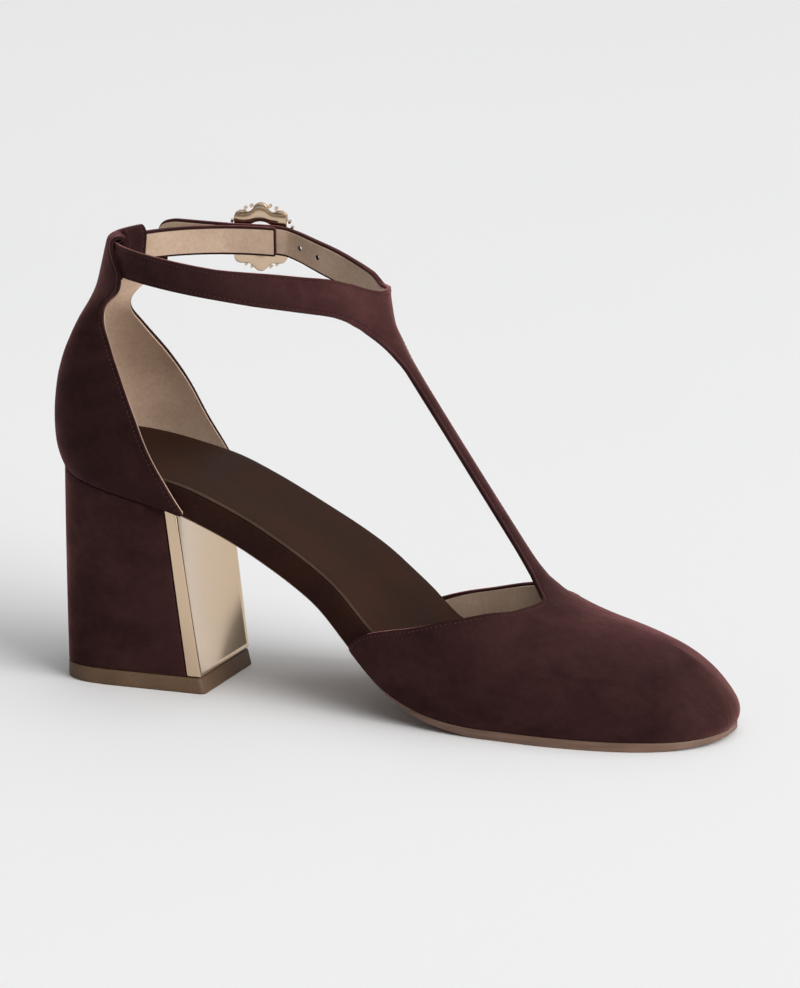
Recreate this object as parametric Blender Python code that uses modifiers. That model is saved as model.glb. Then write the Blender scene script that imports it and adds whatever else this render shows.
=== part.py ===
"""A left T-bar pump: suede vamp with T-bar and ankle strap, heel quarter with a back loop, thick covered
insole, thin leather outsole, covered block heel with a polished breast plate, and a jewelled buckle."""

import math

import bmesh
import bpy
from mathutils import Matrix, Vector

# Driving dimensions in millimetres: X runs from heel to toe, +Y is the outer (lateral) side, Z is up.
MM = 0.001
GAP = 0.3
WALL = 1.8
CENTRE_X = 111.54
CENTRE_Y = 0.36

TOE_TIP = 223.8
TOE_SHIFT = 6.0
TOE_ROUND_MEDIAL = 2.2
TOE_ROUND_LATERAL = 2.05
TOE_START_MEDIAL = 166.0
TOE_START_LATERAL = 150.0
RIDGE_END = 202.0
TUCK = 1.6
TUCK_FROM = 112.0
TUCK_TO = 140.0
TUCK_CLIMB = 0.3

SEAT_BACK = 3.2
SEAT_CENTRE = 34.0
SEAT_ROUND = 2.3
TOE_INSIDE = Vector((0.06, 0, 0.01))
HEEL_INSIDE = Vector((-0.08, 0, 0.07))

INSOLE_THICK = 7.8
INSOLE_THINNER = 3.0
INSOLE_THIN_FROM = 112.0
INSOLE_THIN_TO = 150.0
VAMP_DRAFT = 2.9
DRAFT_FROM = 102.0
DRAFT_TO = 118.0
INSOLE_EDGE = WALL + GAP
SOCK_THICK = 0.9
SOCK_EDGE = INSOLE_EDGE + 0.8
WAIST_EDGE = 2.0
WAIST_BEVEL = 2.4
FOREPART_EDGE = 1.7
FOREPART_FROM = 96.0
FOREPART_TO = 136.0

TOP_PIECE_THICK = 5.0
BREAST_BASE = 54.8
BREAST_TOP = 47.2
OUTSOLE_START = 1.8
BREAST_LEAN = 0.1387
TIP_FRONT = 55.3
PLATE_THICK_BASE = 4.8
PLATE_THICK_TOP = 4.1
PLATE_ROUND = 0.5
SHARP_ANGLE = 40.0
HEEL_BASE_BACK = 4.9
HEEL_BASE_CENTRE = 28.0
HEEL_BASE_HALF = 19.8
HEEL_BASE_ROUND = 3.1
HEEL_TOP_HALF = 24.6
HEEL_FRONT_TOP_HALF = 21.8

LOOP_CENTRE = 63.0
LOOP_FRONT = 46.4
LOOP_BACK = 45.8
LOOP_HALF = 31.5
LOOP_FRONT_ROUND = 1.7
LOOP_BACK_ROUND = 1.6
LATERAL_DROP = 4.8
DROP_FADE_FROM = 40.0
DROP_FADE_TO = 100.0
JUNCTION_HALF = 12.5
JUNCTION_LIFT_LOW = 0.8
JUNCTION_LIFT_TOP = 4.0
TBAR_CROWN = 0.4
TAB_ANGLE = 24.0
TAB_FLARE = 14.0
FLARE_OUT_FROM = -22.0
FLARE_OUT_TO = -7.0
FLARE_BACK_FROM = -4.5
FLARE_BACK_TO = 5.0
TAB_BLEND_FROM = 112.0
TAB_BLEND_TO = 124.0
FOLD_UP = 4.1
FOLD_INSIDE_DOWN = -6.5

REAR_STRAP_END = 262.0
BUCKLE_ANGLE = 106.0
BUCKLE_LOBES = 8
BUCKLE_RADIUS = 9.9
BUCKLE_SCALLOP = 0.9
BUCKLE_HOLE = 5.2
BUCKLE_PLATE = 1.3
STONE_RING = 7.9
STONE_LENGTH = 5.4
STONE_WIDTH = 4.7
STONE_HEIGHT = 2.2
STONE_GIRDLE = 0.4
STONE_TABLE = 0.6
PRONG_THICK = 1.5
PRONG_LENGTH = 6.2
BUCKLE_SEAT = 0.25

# How finely each piece is divided.
VAMP_COLUMNS = 9
VAMP_ROWS = 22
TBAR_CELLS = 2
BAR_CELLS = 18
ARM_CELLS = 3
REAR_CELLS = 44
HOLED_CELLS = 24
QUARTER_CELLS = 24
QUARTER_ROWS = 13
TAB_ROWS = 3
OUTSIDE_ROWS = 5
FOLD_CELLS = 6
SLAB_CELLS = 44
HEEL_CELLS = 12
HEEL_FRONT_CELLS = 3
HEEL_LEVELS = 4
END_TURN = 0.08
STONE_SIDES = 10
RING_SIDES = 64
HOLE_SIDES = 32
COLUMN_CROWD = 0.92
SLOPE_REACH = 0.5
WELD = 0.01


class Table:
    """Rows of sizes with named columns, read along the first one by a smooth curve that never overshoots."""

    def __init__(self, columns, rows):
        self.keys = [row[0] for row in rows]
        self.columns = {name: [row[i] for row in rows] for i, name in enumerate(columns)}

    def slopes(self, values):
        spans = [end - start for start, end in zip(self.keys, self.keys[1:])]
        rates = [(end - start) / span for start, end, span in zip(values, values[1:], spans)]
        inner = [2 * a * b / (a + b) if a * b > 0 else 0.0 for a, b in zip(rates, rates[1:])]
        return [rates[0]] + inner + [rates[-1]]

    def at(self, name, key):
        keys, values = self.keys, self.columns[name]
        key = min(max(key, keys[0]), keys[-1])
        i = max(k for k in range(len(keys) - 1) if keys[k] <= key)
        slopes = self.slopes(values)
        span = keys[i + 1] - keys[i]
        t = (key - keys[i]) / span
        rise = values[i + 1] - values[i]
        start, end = slopes[i] * span, slopes[i + 1] * span
        return values[i] + t * (start + t * (3 * rise - 2 * start - end + t * (start + end - 2 * rise)))


# Where the upper meets the sole, along the shoe: its height and the outsole's thickness below it.
SOLE = Table(
    ("x", "height", "outsole"),
    [
        (0, 68.4, 1.2),
        (8, 66.2, 1.2),
        (20, 63.8, 1.2),
        (36, 60.5, 1.2),
        (47, 57.9, 1.2),
        (56, 54.3, 1.2),
        (74, 45.0, 1.2),
        (92, 33.7, 1.2),
        (104, 22.7, 1.2),
        (116, 12.0, 1.3),
        (124, 7.8, 1.5),
        (132, 5.2, 1.9),
        (142, 3.7, 2.4),
        (152, 3.2, 2.75),
        (164, 3.2, 2.9),
        (200, 3.2, 2.9),
        (211, 3.1, 2.4),
        (224, 3.5, 1.5),
    ],
)

# Half widths of the upper at that line, between the round heel end and the round toe.
PLAN = Table(
    ("x", "medial", "lateral"),
    [
        (34, 25.0, 25.0),
        (50, 24.4, 25.2),
        (70, 22.8, 26.2),
        (90, 23.8, 28.8),
        (110, 28.4, 33.4),
        (130, 34.2, 37.4),
        (150, 37.6, 39.0),
        (166, 38.4, 39.0),
    ],
)

# The line over the top of the foot. Behind the throat it runs on up the instep, under the T-bar.
RIDGE = Table(
    ("x", "height"),
    [
        (100, 126.0),
        (130, 83.6),
        (152, 52.8),
        (159, 42.4),
        (163, 38.9),
        (173, 34.6),
        (188, 30.6),
        (196, 28.5),
        (202, 26.2),
    ],
)

# Shape of the section there: how square each side of it is, and how far it swells past a plain curve.
SECTION = Table(
    ("x", "medial", "lateral", "swell_medial", "swell_lateral"),
    [
        (105, 2.15, 1.90, 1.6, 1.2),
        (150, 2.15, 1.90, 1.6, 1.0),
        (165, 2.10, 1.75, 1.5, 0.6),
        (185, 2.05, 1.90, 1.2, 0.4),
        (202, 2.00, 2.00, 0.6, 0.6),
    ],
)

# Edge of the vamp: how far up the side it has climbed (0 sole, 1 ridge) and its place along the shoe there.
TOPLINE = Table(
    ("climb", "medial", "lateral"),
    [
        (0.00, 104.6, 106.0),
        (0.03, 107.4, 108.6),
        (0.09, 114.4, 115.0),
        (0.14, 121.4, 121.6),
        (0.21, 131.0, 132.0),
        (0.38, 146.6, 149.6),
        (0.54, 154.8, 157.8),
        (0.68, 159.2, 161.2),
        (0.86, 162.8, 163.0),
        (1.00, 163.4, 163.4),
    ],
)
TBAR_CLIMB = 0.86

# Middle line of the T-bar from the throat to the top edge of the strap, with its half width.
TBAR = Table(
    ("row", "x", "height", "half"),
    [
        (1, 160.2, 41.6, 5.6),
        (2, 157.0, 45.6, 4.2),
        (3, 151.6, 53.3, 3.5),
        (5, 129.6, 85.2, 3.2),
        (7, 117.2, 103.6, 3.5),
        (8, 114.1, 108.6, 5.1),
        (9, 112.0, 113.2, 8.2),
        (10, 110.3, 117.5, 12.5),
        (13, 108.5, 127.8, 25.4),
    ],
)
ARM_ROW = 10
TOP_ROW = 13

# The ankle strap round its loop: angle from the front, height of its middle, half width and backward lean.
STRAP = Table(
    ("angle", "height", "half", "lean"),
    [
        (21, 122.5, 8.0, 10.0),
        (27, 124.7, 6.85, 9.5),
        (33, 126.5, 6.0, 9.0),
        (40, 128.2, 5.75, 8.0),
        (50, 129.4, 5.5, 6.0),
        (65, 130.9, 5.25, 4.0),
        (90, 132.4, 4.6, 3.0),
        (130, 133.3, 4.55, 6.0),
        (180, 132.5, 4.6, 14.0),
    ],
)

# The holed arm past the side of the ankle: it lies over the rear strap, then stands off as a free tail.
TAIL = Table(
    ("angle", "outward", "width"),
    [
        (21, 0.0, 1.0),
        (70, 0.0, 1.0),
        (92, 2.1, 1.0),
        (114, 2.2, 1.0),
        (125, 4.3, 1.0),
        (136, 8.2, 0.98),
        (139, 9.4, 0.86),
        (141, 10.3, 0.62),
        (142, 10.7, 0.30),
    ],
)

# The heel quarter by height at its back: its back, the centre of its round, its half width and front edge.
QUARTER = Table(
    ("height", "back", "centre", "half", "front"),
    [
        (67.6, 3.2, 34.0, 25.0, 50.8),
        (70.6, 1.6, 33.2, 25.8, 48.4),
        (75.8, 0.4, 32.0, 26.2, 44.4),
        (83.0, 0.0, 31.0, 25.4, 38.6),
        (92.0, 0.6, 29.0, 23.4, 33.1),
        (100.0, 2.1, 27.0, 19.8, 27.7),
        (108.0, 5.0, 24.0, 14.8, 22.0),
        (115.5, 8.6, 21.0, 10.8, 17.9),
        (126.0, 12.8, 21.0, 9.2, 20.0),
    ],
)


def blend(a, b, t):
    return a + (b - a) * t


def ease(value, start, end):
    t = min(max((value - start) / (end - start), 0.0), 1.0)
    return t * t * (3 - 2 * t)


def steps(start, end, count):
    return [blend(start, end, i / count) for i in range(count + 1)]


def toe_axis(x):
    """The toe leans to the inner side of the foot."""
    return -TOE_SHIFT * max(0.0, (x - TOE_START_LATERAL) / (TOE_TIP - TOE_START_LATERAL)) ** 2


def half_width(x, side, inset):
    """Half width of the sole line at x, moved in by inset; side is -1 for medial, 1 for lateral."""
    name = "medial" if side < 0 else "lateral"
    start = TOE_START_MEDIAL if side < 0 else TOE_START_LATERAL
    power = TOE_ROUND_MEDIAL if side < 0 else TOE_ROUND_LATERAL
    if x < SEAT_CENTRE:
        share = min(1.0, (SEAT_CENTRE - x) / (SEAT_CENTRE - SEAT_BACK - inset))
        return (PLAN.at(name, SEAT_CENTRE) - inset) * (1 - share**SEAT_ROUND) ** (1 / SEAT_ROUND)
    if x > start:
        share = min(1.0, (x - start) / (TOE_TIP - start - inset))
        return (PLAN.at(name, start) - inset) * (1 - share**power) ** (1 / power)
    return PLAN.at(name, x) - inset


def edge_point(x, side, inset):
    return Vector((x, toe_axis(x) + side * half_width(x, side, inset), 0))


def sole_slope(x):
    return (SOLE.at("height", x + SLOPE_REACH) - SOLE.at("height", x - SLOPE_REACH)) / (2 * SLOPE_REACH)


def toe_station(ridge_x, side):
    """The point of the sole line that faces the ridge at ridge_x, with the stations fanned round the toe."""
    start = TOE_START_MEDIAL if side < 0 else TOE_START_LATERAL
    if ridge_x <= start:
        return edge_point(ridge_x, side, 0)
    power = TOE_ROUND_MEDIAL if side < 0 else TOE_ROUND_LATERAL
    turn = math.acos(min(1.0, (ridge_x - start) / (RIDGE_END - start)))
    x = start + (TOE_TIP - start) * math.cos(turn) ** (2 / power)
    half = PLAN.at("medial" if side < 0 else "lateral", start) * math.sin(turn) ** (2 / power)
    return Vector((x, toe_axis(x) + side * half, 0))


def tuck(x):
    """Round the forepart the upper is drawn in where it meets the sole."""
    return TUCK * ease(x, TUCK_FROM, TUCK_TO)


def upper_point(ridge_x, climb, side):
    """The outside of the vamp: climb is 0 at the sole and 1 on the ridge, where it has the ridge's fall."""
    foot = toe_station(ridge_x, side)
    foot.z = SOLE.at("height", foot.x)
    top = Vector((ridge_x, toe_axis(ridge_x), RIDGE.at("height", ridge_x)))
    turn = climb * math.pi / 2
    name = "medial" if side < 0 else "lateral"
    power = 2 / SECTION.at(name, ridge_x)
    swell = SECTION.at("swell_" + name, ridge_x) * math.sin(2 * turn)
    out = Vector((foot.x - top.x, foot.y - top.y, 0))
    tucked = tuck(ridge_x) * (1 - min(1.0, climb / TUCK_CLIMB)) ** 2
    reach = out.length * max(0.0, math.cos(turn)) ** power + swell - tucked
    fall = RIDGE.at("height", ridge_x) - RIDGE.at("height", ridge_x - 1)
    follow = fall * out.normalized().x * reach * math.sin(turn)
    rise = (top.z - foot.z) * math.sin(turn) ** power + follow
    return Vector((top.x, top.y, foot.z)) + out.normalized() * reach + Vector((0, 0, rise))


def station(x):
    """Even steps of this length run at an even pace along the foot and round the toe."""
    if x <= TOE_START_LATERAL:
        return x
    span = RIDGE_END - TOE_START_LATERAL
    return TOE_START_LATERAL + span * math.asin(min(1.0, (x - TOE_START_LATERAL) / span))


def station_x(length):
    if length <= TOE_START_LATERAL:
        return length
    span = RIDGE_END - TOE_START_LATERAL
    return TOE_START_LATERAL + span * math.sin((length - TOE_START_LATERAL) / span)


def loop_point(angle, outward, up):
    """A point on the ankle strap: angle round the ankle from the front (medial first), then out and up from
    the middle of the strap's outer face. The lateral arm hangs lower at the front."""
    mirrored = min(angle, 360 - angle)
    drop = LATERAL_DROP * (1 - ease(mirrored, DROP_FADE_FROM, DROP_FADE_TO)) if angle > 180 else 0.0
    turn = math.radians(angle)
    front = math.cos(turn) > 0
    power = 2 / (LOOP_FRONT_ROUND if front else LOOP_BACK_ROUND)
    reach = LOOP_FRONT if front else -LOOP_BACK
    x = LOOP_CENTRE + reach * abs(math.cos(turn)) ** power
    y = math.copysign(LOOP_HALF * abs(math.sin(turn)) ** power, -math.sin(turn))
    flat_x = abs(math.cos(turn)) ** (2 - power) / reach
    flat_y = math.copysign(abs(math.sin(turn)) ** (2 - power), y) / LOOP_HALF
    flat = Vector((flat_x, flat_y, 0)).normalized()
    lean = math.radians(STRAP.at("lean", mirrored))
    upward = Vector((0, 0, math.cos(lean))) - flat * math.sin(lean)
    normal = flat * math.cos(lean) + Vector((0, 0, math.sin(lean)))
    middle = Vector((x, y, STRAP.at("height", mirrored) - drop))
    return middle + normal * outward + upward * up


def clear_scene():
    for item in list(bpy.data.objects):
        bpy.data.objects.remove(item, do_unlink=True)


def collection_named(name):
    made = bpy.data.collections.new(name)
    bpy.context.scene.collection.children.link(made)
    return made


def material_named(name, colour, roughness, metallic=0.0):
    made = bpy.data.materials.new(name)
    made.use_nodes = True
    shader = made.node_tree.nodes["Principled BSDF"]
    shader.inputs["Base Color"].default_value = (*colour, 1.0)
    shader.inputs["Roughness"].default_value = roughness
    shader.inputs["Metallic"].default_value = metallic
    return made


def place(item, material):
    item.data.materials.append(material)
    SHOE.objects.link(item)
    return item


def mesh_object(name, bm, material, smooth=True):
    """Turns shoe millimetres into metres about the shoe's own centre."""
    bmesh.ops.translate(bm, verts=bm.verts, vec=(-CENTRE_X, -CENTRE_Y, 0))
    bmesh.ops.scale(bm, verts=bm.verts, vec=(MM, MM, MM))
    bmesh.ops.recalc_face_normals(bm, faces=bm.faces)
    mesh = bpy.data.meshes.new(name)
    bm.to_mesh(mesh)
    bm.free()
    for face in mesh.polygons:
        face.use_smooth = smooth
    return place(bpy.data.objects.new(name, mesh), material)


def add_grid(bm, rows):
    made = [[bm.verts.new(point) for point in row] for row in rows]
    for low, high in zip(made, made[1:]):
        for i in range(len(low) - 1):
            bm.faces.new((low[i], low[i + 1], high[i + 1], high[i]))


def add_loft(bm, rings):
    """A closed solid through rings whose halves mirror each other, so that its ends close in strips."""
    made = [[bm.verts.new(point) for point in ring] for ring in rings]
    count = len(made[0])
    for low, high in zip(made, made[1:]):
        for i in range(count):
            j = (i + 1) % count
            bm.faces.new((low[i], low[j], high[j], high[i]))
    for ring in (made[0], made[-1]):
        for i in range(count // 2 - 1):
            bm.faces.new((ring[i], ring[i + 1], ring[count - 2 - i], ring[count - 1 - i]))


def add_wall(item):
    """Gives a sheet the upper's wall, inward from its outer face."""
    wall = item.modifiers.new("Wall", "SOLIDIFY")
    wall.thickness = WALL * MM
    wall.offset = -1.0
    wall.use_rim = True


def face_outward(item, inside):
    """Turns a sheet's faces away from a point inside it."""
    mesh = item.data
    face = min(mesh.polygons, key=lambda f: f.center.z)
    if face.normal.dot(face.center - inside) < 0:
        mesh.flip_normals()


def vamp_columns(count):
    low = [TBAR_CLIMB * (i / count) ** COLUMN_CROWD for i in range(count)]
    return low + steps(TBAR_CLIMB, 1.0, TBAR_CELLS)


def vamp_rows(side, columns, count):
    rows = []
    for i in range(count + 1):
        row = []
        for climb in columns:
            start = station(TOPLINE.at("medial" if side < 0 else "lateral", climb))
            length = blend(start, station(RIDGE_END), i / count)
            row.append(upper_point(station_x(length), climb, side))
        rows.append(row)
    return rows


def tbar_point(row, across):
    """A point of the T-bar's outer face: across is -1 at its medial edge and 1 at its lateral edge."""
    y = min(TBAR.at("half", row), JUNCTION_HALF) * across
    share = (abs(y) / LOOP_HALF) ** LOOP_FRONT_ROUND
    sag = LOOP_FRONT * (1 - (1 - share) ** (1 / LOOP_FRONT_ROUND))
    raised = ease(row, ARM_ROW - 3, ARM_ROW) * (abs(y) / JUNCTION_HALF) ** 2
    lift = raised * blend(JUNCTION_LIFT_LOW, JUNCTION_LIFT_TOP, ease(row, ARM_ROW, TOP_ROW))
    lift -= raised * LATERAL_DROP if y > 0 else 0.0
    crown = TBAR_CROWN * ease(row, 1, 3) * across * across
    return Vector((TBAR.at("x", row) - sag, y, TBAR.at("height", row) + lift - crown))


def make_upper(material):
    """Vamp, T-bar and ankle strap are one sheet of suede, grown from the topline into the strap."""
    bm = bmesh.new()
    columns = vamp_columns(VAMP_COLUMNS)
    medial = vamp_rows(-1, columns, VAMP_ROWS)
    lateral = vamp_rows(1, columns, VAMP_ROWS)
    add_grid(bm, medial)
    add_grid(bm, lateral)

    root = medial[0][VAMP_COLUMNS:] + lateral[0][VAMP_COLUMNS:-1][::-1]
    across = steps(-1, 1, 2 * TBAR_CELLS)
    bar_rows = steps(1, ARM_ROW, BAR_CELLS)[:-1] + steps(ARM_ROW, TOP_ROW, ARM_CELLS)
    bar = [root] + [[tbar_point(row, a) for a in across] for row in bar_rows]
    add_grid(bm, bar)

    start = math.degrees(math.asin((JUNCTION_HALF / LOOP_HALF) ** (LOOP_FRONT_ROUND / 2)))
    joint = bar[-ARM_CELLS - 1:]
    rear = [[row[0] for row in joint]]
    for angle in steps(start, REAR_STRAP_END, REAR_CELLS)[1:]:
        half = STRAP.at("half", min(angle, 360 - angle))
        rear.append([loop_point(angle, 0, up) for up in steps(-half, half, ARM_CELLS)])
    add_grid(bm, rear)

    holed = [[row[-1] for row in joint]]
    for angle in steps(start, TAIL.keys[-3], HOLED_CELLS)[1:] + TAIL.keys[-2:]:
        half = STRAP.at("half", angle) * TAIL.at("width", angle)
        out = TAIL.at("outward", angle)
        holed.append([loop_point(360 - angle, out, up) for up in steps(-half, half, ARM_CELLS)])
    add_grid(bm, holed)

    bmesh.ops.remove_doubles(bm, verts=bm.verts, dist=WELD)
    upper = mesh_object("vamp_upper", bm, material)
    face_outward(upper, TOE_INSIDE)
    add_wall(upper)
    return upper


def quarter_point(height, across):
    """Outside of the heel quarter at a height measured at its back: across is -1 to 1 round the heel."""
    back, centre = QUARTER.at("back", height), QUARTER.at("centre", height)
    half, front = QUARTER.at("half", height), QUARTER.at("front", height)
    turn = abs(across) * math.pi / 2
    x = back + (front - back) * (1 - math.cos(turn) ** (2 / SEAT_ROUND))
    share = max(0.0, (centre - x) / (centre - back))
    y = half * (1 - share**SEAT_ROUND) ** (1 / SEAT_ROUND)
    low = QUARTER.keys[0]
    slope = SOLE.at("height", x) - SOLE.at("height", SEAT_BACK)
    settle = 1 - ease(height, low, TAB_BLEND_TO)
    return Vector((x, math.copysign(y, across), height + slope * settle))


def tab_angle(up):
    """Just under the strap the tab's edge hooks forwards; round the strap it is narrower."""
    flare = ease(up, FLARE_OUT_FROM, FLARE_OUT_TO) * (1 - ease(up, FLARE_BACK_FROM, FLARE_BACK_TO))
    return TAB_ANGLE + TAB_FLARE * flare


def tab_point(outward, up, across, angle=TAB_ANGLE):
    return loop_point(180 + angle * across, outward, up)


def make_quarter(material):
    """The quarter climbs from the heel seat to a tab, which folds over the strap and back down inside."""
    bm = bmesh.new()
    across = steps(-1, 1, QUARTER_CELLS)
    clear = GAP + WALL
    mid = STRAP.at("height", 180)
    rows = []
    for height in steps(QUARTER.keys[0], TAB_BLEND_TO, QUARTER_ROWS):
        share = ease(height, TAB_BLEND_FROM, TAB_BLEND_TO)
        up = height - mid
        angle = tab_angle(up)
        rows.append([quarter_point(height, a).lerp(tab_point(clear, up, a, angle), share) for a in across])
    for up in steps(TAB_BLEND_TO - mid, FOLD_UP, OUTSIDE_ROWS)[1:]:
        rows.append([tab_point(clear, up, a, tab_angle(up)) for a in across])
    fold = clear + WALL / 2
    for turn in steps(0, math.pi, FOLD_CELLS)[1:]:
        out = fold * math.cos(turn) - WALL / 2
        rows.append([tab_point(out, FOLD_UP + fold * math.sin(turn), a) for a in across])
    for up in steps(FOLD_UP, FOLD_INSIDE_DOWN, TAB_ROWS)[1:]:
        rows.append([tab_point(-WALL / 2 - fold, up, a) for a in across])
    add_grid(bm, rows)
    quarter = mesh_object("heel_quarter", bm, material)
    face_outward(quarter, HEEL_INSIDE)
    add_wall(quarter)
    return quarter


def slab_stations(start, end):
    """Close together at the round ends and wider apart in the middle."""
    return [blend(start, end, (1 - math.cos(math.pi * t)) / 2) for t in steps(0.0, 1.0, SLAB_CELLS)]


def slab_ring(stations, inset, lift):
    """Outline of a layer of the sole, with each point lifted square to the sole's own line."""
    medial, lateral = [], []
    for x in stations:
        slope = math.atan(sole_slope(x))
        shift = Vector((-math.sin(slope), 0, math.cos(slope))) * lift(x)
        foot = Vector((0, 0, SOLE.at("height", x)))
        medial.append(edge_point(x, -1, inset(x)) + foot + shift)
        lateral.append(edge_point(x, 1, inset(x)) + foot + shift)
    return medial + lateral[::-1]


def make_slab(name, start, end, low, high, material):
    """A layer of the sole: low and high each give the inset of its edge and its lift above the sole line."""
    bm = bmesh.new()
    stations = slab_stations(start, end)
    add_loft(bm, [slab_ring(stations, *low), slab_ring(stations, *high)])
    return mesh_object(name, bm, material)


def insole_top(x):
    """The insole is thick at the waist and thinner under the ball and the toes."""
    return INSOLE_THICK - INSOLE_THINNER * ease(x, INSOLE_THIN_FROM, INSOLE_THIN_TO)


def vamp_draft(x):
    """Under the vamp the upper faces of the inner layers draw in, clear of the leaning walls."""
    return VAMP_DRAFT * ease(x, DRAFT_FROM, DRAFT_TO)


def outsole_edge(x):
    return blend(WAIST_EDGE, FOREPART_EDGE, ease(x, FOREPART_FROM, FOREPART_TO))


def tread_edge(x):
    """In the waist the sole's edge is bevelled under, so that it shows as a fine line."""
    return outsole_edge(x) + WAIST_BEVEL * (1 - ease(x, FOREPART_FROM, FOREPART_TO))


def breast_x(height):
    return BREAST_BASE - BREAST_LEAN * height


def heel_ring(share, front_inset):
    """Outline of the heel at a share of its height, from its base to the heel seat, back from its breast."""
    back = blend(HEEL_BASE_BACK, SEAT_BACK, share)
    centre = blend(HEEL_BASE_CENTRE, SEAT_CENTRE, share)
    half = blend(HEEL_BASE_HALF, HEEL_TOP_HALF, share)
    power = blend(HEEL_BASE_ROUND, SEAT_ROUND, share)
    base = TOP_PIECE_THICK + GAP
    top = SOLE.at("height", BREAST_TOP) - GAP
    front = breast_x(blend(base, top, share)) - front_inset
    medial = []
    for turn in steps(END_TURN, math.pi / 2, HEEL_CELLS):
        x = centre - (centre - back) * math.cos(turn) ** (2 / power)
        y = half * math.sin(turn) ** (2 / power)
        medial.append(Vector((x, -y, 0)))
    front_half = blend(HEEL_BASE_HALF, HEEL_FRONT_TOP_HALF, share)
    for t in steps(0, 1, HEEL_FRONT_CELLS)[1:]:
        medial.append(Vector((blend(centre, front, t), -blend(half, front_half, t * t), 0)))
    ring = medial + [Vector((p.x, -p.y, 0)) for p in medial[::-1]]
    for point in ring:
        point.z = blend(base, SOLE.at("height", point.x) - GAP, share)
    return ring


def plate_thick(share):
    return blend(PLATE_THICK_BASE, PLATE_THICK_TOP, share)


def make_heel(material):
    bm = bmesh.new()
    add_loft(bm, [heel_ring(share, plate_thick(share) + GAP) for share in steps(0, 1, HEEL_LEVELS)])
    return mesh_object("heel_block", bm, material)


def make_plate(material):
    """The polished plate covers the breast and shows as a strip on both sides of the heel."""
    bm = bmesh.new()
    rings = []
    for share in steps(0, 1, HEEL_LEVELS):
        half = blend(HEEL_BASE_HALF, HEEL_FRONT_TOP_HALF, share)
        low = TOP_PIECE_THICK + GAP
        high = SOLE.at("height", BREAST_TOP) - GAP
        front = breast_x(blend(low, high, share))
        rear = front - plate_thick(share)
        corners = ((rear, -half), (front, -half), (front, half), (rear, half))
        ring = [Vector((x, y, blend(low, SOLE.at("height", x) - GAP, share))) for x, y in corners]
        rings.append(ring)
    add_loft(bm, rings)
    plate = mesh_object("heel_breast_plate", bm, material, smooth=False)
    round_edges(plate, PLATE_ROUND)
    return plate


def round_edges(item, size):
    bevel = item.modifiers.new("Rounded edges", "BEVEL")
    bevel.width = size * MM
    bevel.segments = 2
    bevel.limit_method = "ANGLE"
    bevel.angle_limit = math.radians(SHARP_ANGLE)


def make_top_piece(material):
    bm = bmesh.new()
    ring = heel_ring(0, 0)
    low = [Vector((p.x, p.y, 0)) for p in ring]
    high = [Vector((p.x, p.y, TOP_PIECE_THICK)) for p in ring]
    for point in (low[len(low) // 2 - 1], low[len(low) // 2]):
        point.x = TIP_FRONT
    add_loft(bm, [low, high])
    return mesh_object("heel_top_piece", bm, material, smooth=False)


def buckle_frame():
    """Axes of the buckle: along the strap to the front, up across the strap, and out from the ankle."""
    angle = 360 - BUCKLE_ANGLE
    lift = TAIL.at("outward", BUCKLE_ANGLE) + GAP
    centre = loop_point(angle, lift, 0)
    up = (loop_point(angle, lift, 1) - centre).normalized()
    along = loop_point(angle + 2, lift, 0) - loop_point(angle - 2, lift, 0)
    out = along.cross(up).normalized()
    if out.y < 0:
        out.negate()
    along = up.cross(out)
    centre = (centre - Vector((CENTRE_X, CENTRE_Y, 0))) * MM
    axes = Matrix((along, up, out)).transposed().to_4x4()
    return Matrix.Translation(centre) @ axes


def make_buckle_plate(material):
    """A flat ring with a lobe under each stone."""
    curve = bpy.data.curves.new("buckle_frame", "CURVE")
    curve.dimensions = "2D"
    curve.fill_mode = "BOTH"
    curve.extrude = BUCKLE_PLATE * MM / 2
    outlines = ((BUCKLE_RADIUS, BUCKLE_SCALLOP, RING_SIDES), (BUCKLE_HOLE, 0.0, HOLE_SIDES))
    for radius, scallop, count in outlines:
        line = curve.splines.new("POLY")
        line.points.add(count - 1)
        line.use_cyclic_u = True
        for i, point in enumerate(line.points):
            turn = 2 * math.pi * i / count
            reach = (radius + scallop * math.cos(BUCKLE_LOBES * turn)) * MM
            point.co = (reach * math.cos(turn), reach * math.sin(turn), 0, 1)
    frame = bpy.data.objects.new("buckle_frame", curve)
    frame.matrix_world = buckle_frame() @ Matrix.Translation((0, 0, (BUCKLE_SEAT + BUCKLE_PLATE / 2) * MM))
    return place(frame, material)


def make_stones(material):
    """One cut stone on each lobe: a straight girdle below and a crown that narrows to a flat table."""
    seat = BUCKLE_SEAT + BUCKLE_PLATE + GAP
    for i in range(BUCKLE_LOBES):
        bm = bmesh.new()
        bmesh.ops.create_cone(
            bm, cap_ends=True, segments=STONE_SIDES, radius1=0.5, radius2=0.5, depth=STONE_GIRDLE,
            matrix=Matrix.Translation((0, 0, STONE_GIRDLE / 2)),
        )
        crown = [f for f in bm.faces if f.normal.z > 0.9]
        raised = bmesh.ops.extrude_discrete_faces(bm, faces=crown)["faces"][0]
        for vert in raised.verts:
            vert.co = (vert.co.x * STONE_TABLE, vert.co.y * STONE_TABLE, 1.0)
        bmesh.ops.remove_doubles(bm, verts=bm.verts, dist=WELD)
        bmesh.ops.scale(bm, verts=bm.verts, vec=(STONE_LENGTH * MM, STONE_WIDTH * MM, STONE_HEIGHT * MM))
        name = f"buckle_stone_{i + 1}"
        mesh = bpy.data.meshes.new(name)
        bm.to_mesh(mesh)
        bm.free()
        cut = place(bpy.data.objects.new(name, mesh), material)
        turn = Matrix.Rotation(2 * math.pi * i / BUCKLE_LOBES, 4, "Z")
        out = Matrix.Translation((STONE_RING * MM, 0, seat * MM))
        cut.matrix_world = buckle_frame() @ turn @ out


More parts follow.
